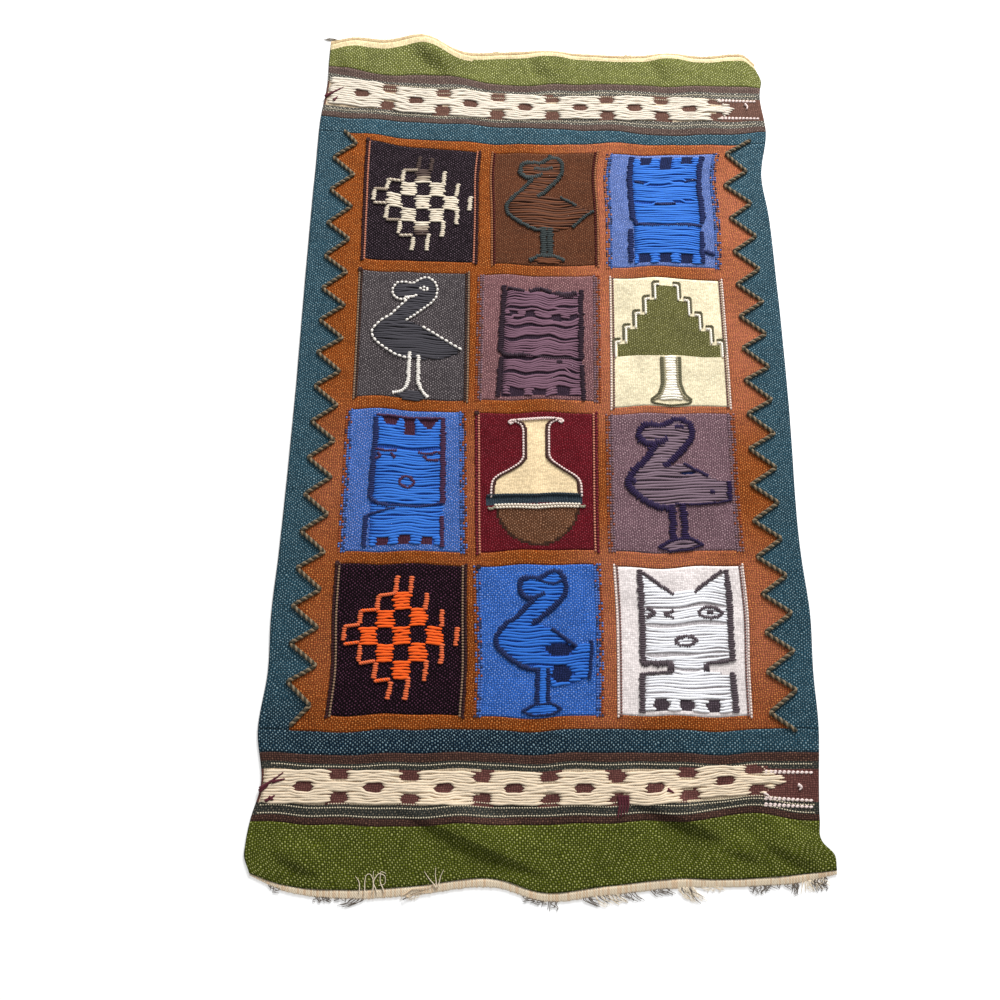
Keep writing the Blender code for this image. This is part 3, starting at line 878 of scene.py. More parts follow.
def float_yarns(panel, spans, finish, seed, wave=0.004, ripple=1.3, partings=(), part=0.012,
                ragged=0.010):
    """Long loose wefts lying side by side over the cloth. They wave together and each a little
    on its own, and stand apart where a parting runs between two of them."""
    chance = np.random.default_rng(seed)
    row, enters, leaves = spans.T
    count = len(row)
    enters = enters + chance.uniform(-ragged, ragged, count)
    leaves = leaves + chance.uniform(-ragged, ragged, count)
    along = np.linspace(0.0, 1.0, FLOAT_STEPS)
    u = enters[:, None] + (leaves - enters)[:, None] * along
    row = row[:, None]
    v = row + wave * (np.sin(2.0 * math.pi * (ripple * u + 0.9 * row) + seed)
                      + 0.7 * np.sin(2.0 * math.pi * (2.2 * ripple * u - 1.7 * row) + 2.0 * seed))
    slack = sum(np.sin(turns * math.pi * along) * chance.normal(0.0, give, (count, 1))
                for turns, give in FLOAT_SLACK)
    v = v + slack * np.minimum(1.0, (leaves - enters)[:, None] / 0.3)
    for curve in partings:
        curve = np.array(curve)
        middle = np.interp(u, curve[:, 0], curve[:, 1])
        within = ease(u, curve[0, 0] - 0.05, curve[0, 0] + 0.03) * ease(
            u, curve[-1, 0] + 0.05, curve[-1, 0] - 0.03)
        v = v + part * within * np.where(row > middle, 1.0, -1.0) * np.exp(
            -(abs(row - middle) / PARTING_REACH) ** 1.5)
    bow = np.sin(math.pi * along) ** 0.35
    lift = 0.0002 + FLOAT_HEIGHT * 0.55 * bow + chance.uniform(0.0, 0.0003, (count, 1)) * bow
    shape = 0.45 + 0.55 * np.sin(math.pi * along) ** 0.4
    width = FLOAT_WIDTH * shape * chance.uniform(0.80, 1.08, (count, 1)) * (
        1.0 + 0.12 * np.sin(9.0 * along + chance.uniform(0.0, 6.3, (count, 1))))
    return yarn_surface(on_web(*on_panel(panel, u, v), lift), width, FLOAT_HEIGHT * shape, finish)


def chart_line(panel, points, step=0.0013, rounding=1):
    """A line through chart points of a panel, in even steps over the web."""
    u, v = (fill_in(values, 12) for values in np.array(points).T)
    return even_steps(*on_panel(panel, u, v), step, rounding)


def wrapped_line(line, width, finish, seed, height=0.0011, rise=0.0):
    """Short stitches side by side, each laid squarely over a line of even steps, and raised
    where they lie over loose yarns."""
    chance = np.random.default_rng(seed)
    reach = np.linspace(-0.5, 0.5, 5)
    long = width * chance.uniform(0.78, 1.16, (len(line), 1))
    shift = chance.normal(0.0, 0.07 * width, (len(line), 1))
    centres = line[:, None] + crosswise(line)[:, None] * (reach * long + shift)[..., None]
    arch = np.array((0.1, 0.8, 1.0, 0.8, 0.1))
    centres[..., 2] += 0.0003 + 0.6 * height * arch + rise
    step = np.linalg.norm(line[1] - line[0])
    shape = np.array((0.5, 0.95, 1.0, 0.95, 0.5))
    return yarn_surface(centres, 0.52 * step * shape, height * shape, finish)


def bead_line(line, long, half_width, finish, rise=0.0):
    """Separate beads of wool, one to each step of a line: short tubes that lie along it and dip
    into the cloth at both ends."""
    run = np.gradient(line, axis=0)
    run = run / np.linalg.norm(run, axis=1, keepdims=True)
    centres = line[:, None] + run[:, None] * long * np.array((-0.5, -0.2, 0.2, 0.5))[:, None]
    centres[..., 2] += rise + 0.6 * half_width * np.array((0.1, 1.0, 1.0, 0.1))
    shape = half_width * np.array((0.5, 1.0, 1.0, 0.5))
    return yarn_surface(centres, shape, 0.8 * shape, finish)


def lozenge(u, v, half_u, half_v):
    """Six-sided block with pointed sides."""
    return [(u - half_u, v), (u - 0.6 * half_u, v + half_v), (u + 0.6 * half_u, v + half_v),
            (u + half_u, v), (u + 0.6 * half_u, v - half_v), (u - 0.6 * half_u, v - half_v)]


def block(left, low, right, high):
    """Four-sided block."""
    return [(left, low), (right, low), (right, high), (left, high)]


# ---------------------------------------------------------------------------------------------
# Stepped diamonds. Two panels of black ground carry a lozenge of nine checks, each a bundle of
# short loose yarns, inside a stepped line of wrapped bars: cream in one, orange in the other.
# ---------------------------------------------------------------------------------------------
# The black of the far panel is a little paler than that of the near one
paler_black_wool = wool_weave("paler_black_wool", "140810", "6D5C67", 0.75, 0.5)
black_wool = wool_weave("black_wool", "0E0208", "643A52", 0.75, 0.5)
CHECK_CENTRES = [(0.515 + 0.1225 * across, 0.512 + 0.115 * along)
                 for across, along in ((0, 2), (-1, 1), (1, 1), (-2, 0), (0, 0), (2, 0),
                                       (-1, -1), (1, -1), (0, -2))]
# Bars of the stepped line: middle, far end, near end
LEFT_BARS = [(0.470, 0.91, 0.81), (0.338, 0.78, 0.70), (0.208, 0.68, 0.61), (0.088, 0.57, 0.50),
             (0.204, 0.45, 0.36), (0.322, 0.33, 0.24), (0.440, 0.20, 0.10)]
RIGHT_BARS = [(0.580, 0.90, 0.80), (0.696, 0.79, 0.69), (0.815, 0.69, 0.59), (0.925, 0.58, 0.47),
              (0.812, 0.46, 0.34), (0.694, 0.34, 0.22), (0.567, 0.23, 0.10)]
for label, panel, ground, bright, faded, worn_dye, seed in (
        ("cream", (0, 3), paler_black_wool, "DED2BE", "A89886", "54443F", 3),
        ("orange", (0, 0), black_wool, "F2601C", "DE6C40", "C85A34", 4)):
    weave_panel(f"{label}_diamond_ground", panel, [ground])
    spans = np.concatenate([level_rows([block(u - 0.066, v - 0.057, u + 0.066, v + 0.057)],
                                       FLOAT_PITCH) for u, v in CHECK_CENTRES])
    edge = abs(spans[:, 0] - 0.505)
    worn = (label == "cream") * ((edge > 0.190) + 1 * (edge > 0.245))
    parts = [float_yarns(panel, spans, worn, seed, wave=0.0025, ragged=0.014)]
    for number, (middle, far_end, near_end) in enumerate(LEFT_BARS + RIGHT_BARS):
        bar = chart_line(panel, [(middle + 0.006, far_end), (middle - 0.004, near_end)], 0.0026, 0)
        dull = number in (0, 7) and label == "cream"
        parts.append(wrapped_line(bar, 0.0056, 2 * dull + (label == "orange"),
                                  10 * seed + number))
    for number, (this, after) in enumerate(zip(LEFT_BARS, LEFT_BARS[1:])):
        low, high = (after, this) if number < 3 else (this, after)
        level = 0.5 * (this[2] + after[1])
        link = chart_line(panel, [(low[0], level - 0.005), (high[0], level + 0.005)], 0.0013, 1)
        parts.append(twisted_cord(link, 0.0012, 0.005, (1, 0) if number % 2 else (1, 1)))
    lay_yarns(f"{label}_diamond_yarns", parts,
              [wool_yarn(f"{label}_yarn", bright, 7.0, 0.4, 0.3),
               wool_yarn(f"{label}_faded_yarn", faded, 7.0, 0.4, 0.3),
               wool_yarn(f"{label}_worn_yarn", worn_dye, 7.0, 0.4, 0.3)])

# ---------------------------------------------------------------------------------------------
# Long-necked birds. Four panels show the same wading bird, its body filled with long loose
# yarns and its outline wrapped or corded over them. The chart is one bird whose head is moved
# and spread, and whose back and tail differ from panel to panel.
# ---------------------------------------------------------------------------------------------
HEAD_LINE = [(0.35, 0.83), (0.35, 0.87), (0.39, 0.91), (0.45, 0.915), (0.52, 0.905), (0.56, 0.93),
             (0.61, 0.96), (0.67, 0.96), (0.72, 0.92), (0.735, 0.87), (0.725, 0.81),
             (0.68, 0.76), (0.60, 0.705), (0.52, 0.65), (0.45, 0.61)]
BEAK_LINE = [(0.35, 0.83), (0.37, 0.79), (0.43, 0.77), (0.49, 0.785), (0.55, 0.81)]
BREAST_LINE = [(0.46, 0.76), (0.38, 0.70), (0.31, 0.65), (0.23, 0.61), (0.17, 0.56), (0.14, 0.51),
               (0.15, 0.46), (0.21, 0.41), (0.28, 0.37), (0.35, 0.335), (0.42, 0.315),
               (0.48, 0.31)]
FOOT = [(0.38, 0.045), (0.46, 0.085), (0.60, 0.085), (0.68, 0.045), (0.61, 0.02), (0.45, 0.02)]
LEG_FILL = [(0.50, 0.31), (0.50, 0.09), (0.56, 0.09), (0.56, 0.31)]


def bird_lines(head_shift, head_spread):
    """Head, beak and breast lines of the bird, its head moved sideways and spread about its own
    middle; the change dies out down the neck."""
    lines = []
    for line in (HEAD_LINE, BEAK_LINE, BREAST_LINE):
        line = np.array(line)
        part = ease(line[:, 1], 0.58, 0.80)
        line[:, 0] += part * (head_shift + head_spread * (line[:, 0] - 0.54))
        lines.append([tuple(point) for point in line])
    return lines


def bird_body(lines, back, tail):
    """The whole outline of the bird, round by its head, back, tail, belly and breast."""
    head, beak, breast = lines
    return head + back + tail + breast[::-1] + beak[::-1][2:-1]


def stitch_outlines(panel, lines, seed, finish=1):
    """Close stitches over chart lines, each given as stitch length and points."""
    return [wrapped_line(chart_line(panel, line, 0.0025, 1), 1.12 * long, finish, seed + number,
                         rise=0.0004)
            for number, (long, line) in enumerate(lines)]


# Blue bird: navy stitches round blue yarns, a dark wing and a dark patch under the tail
blue_ground = wool_weave("blue_wool", "2F65C0", "86A2DC", 0.8, 0.6, 0.50)
blue_shadow = wool_weave("blue_shadow_wool", "2A54B0", "3E62B8", 0.4, 0.4)
navy_wool = wool_weave("navy_wool", "1E2850", "30386A", 0.4, 0.4)
panel = (1, 0)
lines = bird_lines(0.0, 0.0)
back = [(0.61, 0.575), (0.68, 0.53), (0.74, 0.49), (0.80, 0.455)]
body = bird_body(lines, back, [(0.93, 0.47), (0.91, 0.25), (0.79, 0.215), (0.70, 0.20),
                               (0.60, 0.21), (0.57, 0.26), (0.57, 0.31)])
wing = [(0.53, 0.445), (0.60, 0.40), (0.68, 0.39), (0.76, 0.41), (0.80, 0.45), (0.72, 0.475),
        (0.62, 0.475)]
patch = [(0.59, 0.27), (0.62, 0.33), (0.68, 0.35), (0.74, 0.32), (0.78, 0.27), (0.73, 0.22),
         (0.64, 0.215)]
weave_panel("blue_bird_ground", panel, [blue_ground, blue_shadow, navy_wool, navy_wool],
            ([body, FOOT], [wing], [patch]))
parts = [float_yarns(panel, level_rows([body, wing, patch], FLOAT_PITCH), 0, 11, wave=0.004),
         float_yarns(panel, level_rows([FOOT], 0.016), 0, 12, ragged=0.003),
         float_yarns(panel, level_rows([LEG_FILL], 0.016), 0, 13, wave=0.001, ragged=0.003),
         *stitch_outlines(panel, [
             (0.0058, lines[0]), (0.0056, lines[1]), (0.0054, lines[2]), (0.0044, back),
             (0.0048, [(0.485, 0.31), (0.482, 0.10)]), (0.0048, [(0.572, 0.31), (0.574, 0.10)]),
             (0.0036, [(0.93, 0.475), (0.93, 0.40)]), (0.0036, [(0.925, 0.38), (0.92, 0.30)]),
             (0.0034, [(0.915, 0.28), (0.91, 0.24)]),
             (0.0034, [(0.51, 0.905), (0.57, 0.880), (0.63, 0.875), (0.70, 0.895)]),
             (0.0030, [(0.37, 0.05), (0.46, 0.09), (0.60, 0.09), (0.69, 0.05), (0.61, 0.02),
                       (0.45, 0.02), (0.37, 0.05)])], 60)]
lay_yarns("blue_bird_yarns", parts,
          [wool_yarn("bright_blue_yarn", "2C6AC4", 7.0, 0.6, 0.3),
           wool_yarn("navy_yarn", "1C2C5C", 4.0, 0.5)])

# Mauve bird: thick indigo stitches round mauve yarns
mauve_ground = wool_weave("mauve_wool", "765862", "B89CA0", 0.85, 0.6, 0.5)
mauve_shadow = wool_weave("mauve_shadow_wool", "5A4A58", "6A5A68", 0.4, 0.4)
panel = (2, 1)
lines = bird_lines(-0.085, 0.14)
back = [(0.60, 0.63), (0.67, 0.59), (0.73, 0.56), (0.78, 0.53)]
body = bird_body(lines, back, [(0.86, 0.50), (0.95, 0.48), (0.955, 0.36), (0.78, 0.335),
                               (0.60, 0.335)])
slit = [(0.56, 0.56), (0.62, 0.580), (0.70, 0.570), (0.66, 0.545), (0.61, 0.540)]
weave_panel("mauve_bird_ground", panel, [mauve_ground, mauve_shadow, navy_wool],
            ([body, FOOT], [slit]))
parts = [float_yarns(panel, level_rows([body, slit], FLOAT_PITCH), 0, 13, wave=0.004),
         float_yarns(panel, level_rows([FOOT], 0.016), 0, 14, ragged=0.003),
         *stitch_outlines(panel, [
             (0.0070, lines[0]), (0.0080, lines[1]), (0.0078, lines[2]), (0.0042, back),
             (0.0078, [(0.487, 0.33), (0.485, 0.09)]), (0.0078, [(0.578, 0.33), (0.580, 0.09)]),
             (0.0054, [(0.955, 0.485), (0.950, 0.355)]),
             (0.0056, [(0.54, 0.905), (0.60, 0.905)]),
             (0.0058, [(0.15, 0.53), (0.20, 0.50)]), (0.0050, [(0.80, 0.412), (0.83, 0.410)]),
             (0.0024, [(0.52, 0.340), (0.70, 0.330), (0.88, 0.335), (0.95, 0.355)]),
             (0.0040, [(0.37, 0.045), (0.46, 0.085), (0.61, 0.090), (0.71, 0.045)]),
             (0.0026, [(0.71, 0.045), (0.62, 0.012), (0.45, 0.012), (0.37, 0.045)])], 80)]
lay_yarns("mauve_bird_yarns", parts,
          [wool_yarn("mauve_yarn", "7A6672", 7.0, 0.6, 0.3),
           wool_yarn("indigo_yarn", "2C1E44", 4.0, 0.7)])

# Brown bird: slate stitches round brown and rust yarns
bark_wool = wool_weave("bark_wool", "5C321E", "886046", 0.8, 0.6, 0.5)
bark_shadow = wool_weave("bark_shadow_wool", "36201A", "44302A", 0.4, 0.4)
panel = (1, 3)
lines = bird_lines(-0.060, 0.04)
back = [(0.66, 0.61), (0.73, 0.57), (0.79, 0.53)]
body = bird_body(lines, back, [(0.88, 0.49), (0.94, 0.46), (0.85, 0.40), (0.77, 0.35),
                               (0.62, 0.315)])
weave_panel("brown_bird_ground", panel, [bark_wool, bark_shadow], ([body, FOOT],))
spans = level_rows([body], FLOAT_PITCH)
parts = [float_yarns(panel, spans, np.arange(len(spans)) % 2, 15, wave=0.004),
         float_yarns(panel, level_rows([FOOT], 0.016), 1, 16, ragged=0.003),
         *stitch_outlines(panel, [
             (0.0052, lines[0]), (0.0054, lines[1]), (0.0046, lines[2]), (0.0036, back),
             (0.0036, [(0.95, 0.465), (0.88, 0.43), (0.80, 0.37), (0.76, 0.345)]),
             (0.0048, [(0.550, 0.955), (0.552, 0.985)]),
             (0.0080, [(0.488, 0.33), (0.486, 0.10)]), (0.0080, [(0.544, 0.33), (0.546, 0.10)]),
             (0.0050, [(0.36, 0.05), (0.44, 0.085), (0.60, 0.085), (0.67, 0.05)]),
             (0.0050, [(0.42, 0.86), (0.50, 0.855), (0.58, 0.87)])], 100, 2)]
lay_yarns("brown_bird_yarns", parts,
          [wool_yarn("brown_yarn", "5A3828", 7.0, 0.6, 0.3),
           wool_yarn("russet_yarn", "6A3E26", 7.0, 0.6, 0.3),
           wool_yarn("slate_yarn", "3E4646", 4.0, 0.6)])

# Grey bird: charcoal yarns inside a white corded outline, on grey ground
grey_wool = wool_weave("grey_wool", "463F42", "948C8C", 0.9, 0.6, 0.45)
# Painted shade: under the loose yarns the ground is woven darker than they are
charcoal_shadow_wool = wool_weave("charcoal_shadow_wool", "2C2A2E", "3C3A3E", 0.4, 0.4)
panel = (0, 2)
lines = bird_lines(-0.03, 0.04)
head, beak, breast = lines
back = [(0.60, 0.56), (0.70, 0.52), (0.80, 0.47), (0.92, 0.40)]
body = bird_body(lines, back, [(0.90, 0.36), (0.76, 0.33), (0.56, 0.31)])
base = [(0.37, 0.025), (0.47, 0.06), (0.57, 0.06), (0.64, 0.02), (0.57, -0.01), (0.44, -0.01)]
weave_panel("grey_bird_ground", panel, [grey_wool, charcoal_shadow_wool], ([body, base],))
parts = [float_yarns(panel, level_rows([body], 0.0160), 0, 17, wave=0.003),
         float_yarns(panel, level_rows([base], 0.014), 0, 18, ragged=0.003)]
for pitch, line in ((0.0050, head), (0.0050, beak), (0.0062, breast), (0.0062, back),
                    (0.0042, [(0.43, 0.79), (0.50, 0.80)]),
                    (0.0042, [(0.56, 0.870), (0.595, 0.885), (0.635, 0.870), (0.60, 0.855),
                              (0.56, 0.870)])):
    parts.append(bead_line(chart_line(panel, line, pitch, 0), 0.8 * pitch, 0.00150, 1, 0.0006))
parts += stitch_outlines(panel, [
    (0.0044, [(0.480, 0.35), (0.478, 0.14), (0.46, 0.09)]),
    (0.0036, [(0.46, 0.09), (0.42, 0.05), (0.35, 0.03)]),
    (0.0044, [(0.558, 0.33), (0.560, 0.14), (0.585, 0.08)]),
    (0.0036, [(0.585, 0.08), (0.645, 0.02)])], 19)
lay_yarns("grey_bird_yarns", parts,
          [wool_yarn("charcoal_yarn", "403E44", 7.0, 0.6, 0.3),
           wool_yarn("white_bead_yarn", "F6F0E8", 4.0, 0.3)])

# ---------------------------------------------------------------------------------------------
# Masks. Four panels carry a square face over a jaw: long loose yarns lie level between two
# upright bars of close stitches, dark blocks stand along the top and the bottom, and eyes, nose
# and mouth are gaps or small stitched rings.
# ---------------------------------------------------------------------------------------------


def make_mask(name, panel, dyes, yarns, face, blocks, strokes, seed, finish=1, **lie):
    """A mask: ground, face filled with level yarns except at its blocks, then its strokes, each
    given as stitch length and chart points. dyes are ground, shadow and blocks; yarns are the
    loose one and the stitched ones; lie says how the loose ones wave and part."""
    weave_panel(f"{name}_ground", panel, dyes, ([face], blocks))
    parts = [float_yarns(panel, level_rows([face, *blocks], FLOAT_PITCH), 0, seed, **lie),
             *stitch_outlines(panel, strokes, seed, finish)]
    lay_yarns(f"{name}_yarns", parts, yarns)


def ring(u, v, half_u, half_v, count=10):
    """Closed oval of chart points."""
    turn = np.linspace(0.0, 2.0 * math.pi, count + 1)
    return list(zip(u + half_u * np.cos(turn), v + half_v * np.sin(turn)))


# Tall blue mask, far right
blue_yarn = wool_yarn("blue_yarn", "3472CC", 7.0, 0.6, 0.3)
dark_blue_yarn = wool_yarn("dark_blue_yarn", "263264", 4.0, 0.5)
pale_blue_ground = wool_weave("pale_blue_wool", "566EAC", "A0A8D2", 0.7, 0.6, 0.6)
make_mask(
    "tall_blue_mask", (2, 3), [pale_blue_ground, blue_shadow, navy_wool],
    [blue_yarn, dark_blue_yarn], block(0.225, 0.035, 0.86, 0.97),
    [block(0.300, 0.91, 0.398, 0.975), block(0.488, 0.865, 0.604, 0.975),
     block(0.683, 0.91, 0.783, 0.975), block(0.267, 0.03, 0.377, 0.118),
     block(0.463, 0.03, 0.567, 0.118), block(0.657, 0.03, 0.767, 0.118)],
    [(0.0064, [(0.216, 0.975), (0.218, 0.43)]), (0.0052, [(0.222, 0.43), (0.25, 0.385)]),
     (0.0064, [(0.865, 0.975), (0.865, 0.40)]), (0.0060, [(0.200, 0.325), (0.200, 0.055)]),
     (0.0060, [(0.856, 0.31), (0.856, 0.05)]), (0.0044, [(0.25, 0.372), (0.42, 0.366)]),
     (0.0044, [(0.66, 0.366), (0.85, 0.368)]), (0.0026, [(0.42, 0.364), (0.66, 0.362)]),
     (0.0032, [(0.27, 0.756), (0.34, 0.742)]), (0.0032, [(0.74, 0.752), (0.83, 0.772)]),
     (0.0055, [(0.86, 0.145), (0.92, 0.14), (0.955, 0.12)]),
     (0.0036, [(0.44, 0.558), (0.53, 0.548), (0.62, 0.554)])],
    21, wave=0.004, part=0.011,
    partings=([(0.25, 0.753), (0.53, 0.728), (0.83, 0.770)],
              [(0.25, 0.580), (0.53, 0.548), (0.80, 0.600)],
              [(0.22, 0.370), (0.85, 0.365)]))

# Square blue mask, near left: maroon blocks along its top
plum_wool = wool_weave("plum_wool", "4E2A3C", "644456", 0.4, 0.4)
soft_blue_ground = wool_weave("soft_blue_wool", "3A68B7", "A4A6D1", 0.8, 0.6, 0.50)
make_mask(
    "square_blue_mask", (0, 1), [soft_blue_ground, blue_shadow, plum_wool],
    [blue_yarn, dark_blue_yarn], block(0.225, 0.045, 0.83, 0.945),
    [[(0.28, 0.945), (0.32, 0.89), (0.41, 0.89), (0.44, 0.945)], block(0.49, 0.82, 0.58, 0.945),
     [(0.61, 0.945), (0.66, 0.885), (0.70, 0.865), (0.74, 0.885), (0.785, 0.945)],
     block(0.28, 0.045, 0.38, 0.112), block(0.464, 0.045, 0.556, 0.112),
     block(0.65, 0.045, 0.75, 0.112)],
    [(0.0062, [(0.240, 0.93), (0.230, 0.60), (0.215, 0.39)]),
     (0.0052, [(0.19, 0.24), (0.18, 0.04)]),
     (0.0046, [(0.205, 0.385), (0.24, 0.35), (0.29, 0.33), (0.36, 0.32)]),
     (0.0028, [(0.36, 0.32), (0.46, 0.315), (0.61, 0.31), (0.82, 0.335)]),
     (0.0030, [(0.20, 0.250), (0.26, 0.270), (0.34, 0.285), (0.42, 0.300)])],
    22, wave=0.004, part=0.010,
    partings=([(0.24, 0.735), (0.50, 0.725), (0.80, 0.735)], [(0.24, 0.315), (0.80, 0.325)]))
lay_yarns("square_blue_mask_features", stitch_outlines((0, 1), [
    (0.0060, [(0.826, 0.95), (0.826, 0.34)]), (0.0050, [(0.82, 0.24), (0.82, 0.04)]),
    (0.0032, [(0.25, 0.950), (0.80, 0.950)]), (0.0036, ring(0.518, 0.485, 0.064, 0.042, 8)),
    (0.0034, [(0.25, 0.705), (0.33, 0.695), (0.42, 0.700)]),
    (0.0034, [(0.27, 0.680), (0.29, 0.650), (0.25, 0.640)]),
    (0.0034, [(0.38, 0.680), (0.41, 0.650)]),
    (0.0034, [(0.62, 0.700), (0.70, 0.690), (0.79, 0.700)]),
    (0.0034, [(0.66, 0.670), (0.70, 0.645), (0.78, 0.640)])], 240, 0),
    [wool_yarn("plum_yarn", "4E2E4C", 4.0, 0.5)])

# Lavender mask: rippled yarns, and dark gaps for the eyes
lavender_wool = wool_weave("lavender_wool", "7C5458", "BC9290", 0.85, 0.6, 0.5)
# Aubergine lies under the loose yarns as painted shade between them, and is the dye of the eye
# blocks
aubergine_shadow_and_block_wool = wool_weave("aubergine_shadow_and_block_wool", "3A2A38", "4C3A48", 0.4, 0.4)
make_mask(
    "lavender_mask", (1, 2), [lavender_wool, aubergine_shadow_and_block_wool, aubergine_shadow_and_block_wool],
    [wool_yarn("lavender_yarn", "745464", 7.0, 0.6, 0.3),
     wool_yarn("aubergine_yarn", "352430", 4.0, 0.5)],
    block(0.20, 0.03, 0.87, 0.875),
    [block(0.27, 0.03, 0.38, 0.095), block(0.46, 0.03, 0.57, 0.095),
     block(0.66, 0.03, 0.77, 0.095), block(0.25, 0.665, 0.32, 0.715),
     block(0.39, 0.655, 0.46, 0.705), block(0.62, 0.635, 0.69, 0.680),
     block(0.77, 0.645, 0.83, 0.690)],
    [(0.0060, [(0.205, 0.90), (0.19, 0.62), (0.178, 0.40)]),
     (0.0050, [(0.175, 0.39), (0.20, 0.365), (0.23, 0.352), (0.39, 0.352)]),
     (0.0056, [(0.188, 0.33), (0.165, 0.035)]), (0.0060, [(0.862, 0.88), (0.862, 0.33)]),
     (0.0050, [(0.872, 0.27), (0.885, 0.01)]),
     (0.0026, [(0.39, 0.352), (0.62, 0.33), (0.86, 0.325)]),
     (0.0056, [(0.66, 0.30), (0.70, 0.30)]), (0.0044, [(0.24, 0.885), (0.37, 0.872)]),
     (0.0054, [(0.43, 0.875), (0.515, 0.905), (0.60, 0.87)]),
     (0.0070, [(0.65, 0.855), (0.73, 0.835), (0.82, 0.86)])],
    23, wave=0.0125, ripple=2.1, part=0.012,
    partings=([(0.22, 0.74), (0.50, 0.73), (0.82, 0.75)],
              [(0.22, 0.48), (0.52, 0.50), (0.82, 0.48)],
              [(0.20, 0.34), (0.84, 0.33)], [(0.22, 0.60), (0.82, 0.59)],
              [(0.22, 0.665), (0.50, 0.640), (0.82, 0.650)],
              [(0.22, 0.215), (0.50, 0.200), (0.82, 0.225)]))

# White mask: ears, and a grey stitched outline
white_wool = wool_weave("white_wool", "E8DEDC", "F4EEEA", 0.5, 0.4, 0.88)
white_shadow = wool_weave("white_shadow_wool", "C0BABC", "D0CACA", 0.4, 0.4, 0.8)
ash_wool = wool_weave("ash_wool", "50444C", "60545C", 0.4, 0.4)
make_mask(
    "white_mask", (2, 0), [white_wool, white_shadow, ash_wool],
    [wool_yarn("white_yarn", "ECECF0", 7.0, 0.35, 0.3), wool_yarn("ash_yarn", "5A4E54", 4.0, 0.5)],
    [(0.20, 0.03), (0.20, 0.270), (0.42, 0.280), (0.42, 0.362), (0.20, 0.362), (0.20, 0.96),
     (0.43, 0.825), (0.62, 0.825), (0.855, 0.96), (0.855, 0.375), (0.68, 0.345),
     (0.68, 0.290), (0.855, 0.270), (0.855, 0.03)],
    [lozenge(0.329, 0.070, 0.067, 0.040), lozenge(0.518, 0.070, 0.060, 0.040),
     lozenge(0.717, 0.070, 0.058, 0.040)],
    [(0.0066, [(0.202, 0.98), (0.198, 0.70), (0.195, 0.36)]),
     (0.0066, [(0.860, 0.97), (0.862, 0.66), (0.865, 0.37)]),
     (0.0042, [(0.234, 0.966), (0.44, 0.824)]), (0.0042, [(0.824, 0.966), (0.61, 0.824)]),
     (0.0062, [(0.19, 0.352), (0.41, 0.345)]), (0.0105, [(0.385, 0.322), (0.425, 0.322)]),
     (0.0036, [(0.19, 0.280), (0.41, 0.290)]), (0.0085, [(0.655, 0.318), (0.69, 0.318)]),
     (0.0036, [(0.69, 0.348), (0.78, 0.352), (0.865, 0.368)]),
     (0.0062, [(0.190, 0.28), (0.184, 0.03)]), (0.0062, [(0.868, 0.28), (0.880, 0.03)]),
     (0.0046, ring(0.518, 0.498, 0.082, 0.034, 8)),
     (0.0044, [(0.24, 0.720), (0.30, 0.695), (0.24, 0.660)]),
     (0.0040, [(0.43, 0.705), (0.36, 0.685), (0.43, 0.660)]),
     (0.0040, ring(0.71, 0.68, 0.092, 0.038, 8)), (0.0050, [(0.69, 0.68), (0.73, 0.68)])],
    24, wave=0.0045, part=0.010,
    partings=([(0.24, 0.735), (0.50, 0.730), (0.82, 0.74)], [(0.24, 0.60), (0.82, 0.60)],
              [(0.22, 0.315), (0.84, 0.320)], [(0.24, 0.42), (0.80, 0.41)]))

# ---------------------------------------------------------------------------------------------
# Stepped tree. One cream panel carries a green tree of five steps, woven in, with a white and a
# dark cord up each riser and a corded trunk filled with loose white yarns.
# ---------------------------------------------------------------------------------------------
panel = (2, 2)
cream_wool = wool_weave("cream_wool", "E5D8B5", "F6F0DC", 0.5, 0.4, 0.90)
leaf_wool = wool_weave("leaf_wool", "646232", "A29E74", 0.9, 0.5, 0.5)
# Five even steps, each as tall as the last and drawn in by as much again on either side
TREE_STEPS = [(0.38 + 0.11 * step, 0.06 + 0.088 * step, 0.94 - 0.088 * step)
              for step in range(6)]
left_side, right_side, parts = [], [], []
for (low, left, right), (high, _, _) in zip(TREE_STEPS, TREE_STEPS[1:]):
    left_side += [(left, low), (left, high)]
    right_side += [(right, low), (right, high)]
    for side, away in ((left, -1.0), (right, 1.0)):
        for finish, gap, turn_in in ((0, 0.012, 0.0), (1, 0.032, 0.024)):
            riser = chart_line(panel, [(side + away * gap, low + turn_in),
                                       (side + away * gap, high + 0.012 + turn_in),
                                       (side - away * 0.030, high + 0.012 + turn_in)], 0.0013, 1)
            parts.append(twisted_cord(riser, 0.00085, 0.0060, (finish, finish)))
weave_panel("tree_ground", panel, [cream_wool, leaf_wool], ([left_side + right_side[::-1]],))
trunk = [(0.46, 0.378), (0.46, 0.16), (0.39, 0.05), (0.62, 0.05), (0.56, 0.16), (0.56, 0.378)]
parts.append(float_yarns(panel, level_rows([trunk], 0.0185), 0, 31, wave=0.003))
for line in ([(0.430, 0.375), (0.432, 0.17), (0.400, 0.09), (0.335, 0.045)],
             [(0.590, 0.375), (0.588, 0.17), (0.620, 0.09), (0.675, 0.045)]):
    for finish, shift in ((1, 0.0), (1, 0.012), (2, 0.026)):
        side = [(u + (shift if line[0][0] < 0.5 else -shift), v) for u, v in line]
        parts.append(twisted_cord(chart_line(panel, side, 0.0013, 2), 0.00095, 0.0060,
                                  (finish, finish)))
base = [(0.335, 0.045), (0.36, 0.020), (0.50, 0.008), (0.65, 0.020), (0.675, 0.045)]
parts.append(twisted_cord(chart_line(panel, base, 0.0013, 2), 0.00085, 0.0060, (1, 1)))
rim = [(0.335, 0.045), (0.40, 0.062), (0.50, 0.068), (0.61, 0.062), (0.675, 0.045)]
parts.append(twisted_cord(chart_line(panel, rim, 0.0013, 2), 0.0007, 0.0060, (2, 2)))
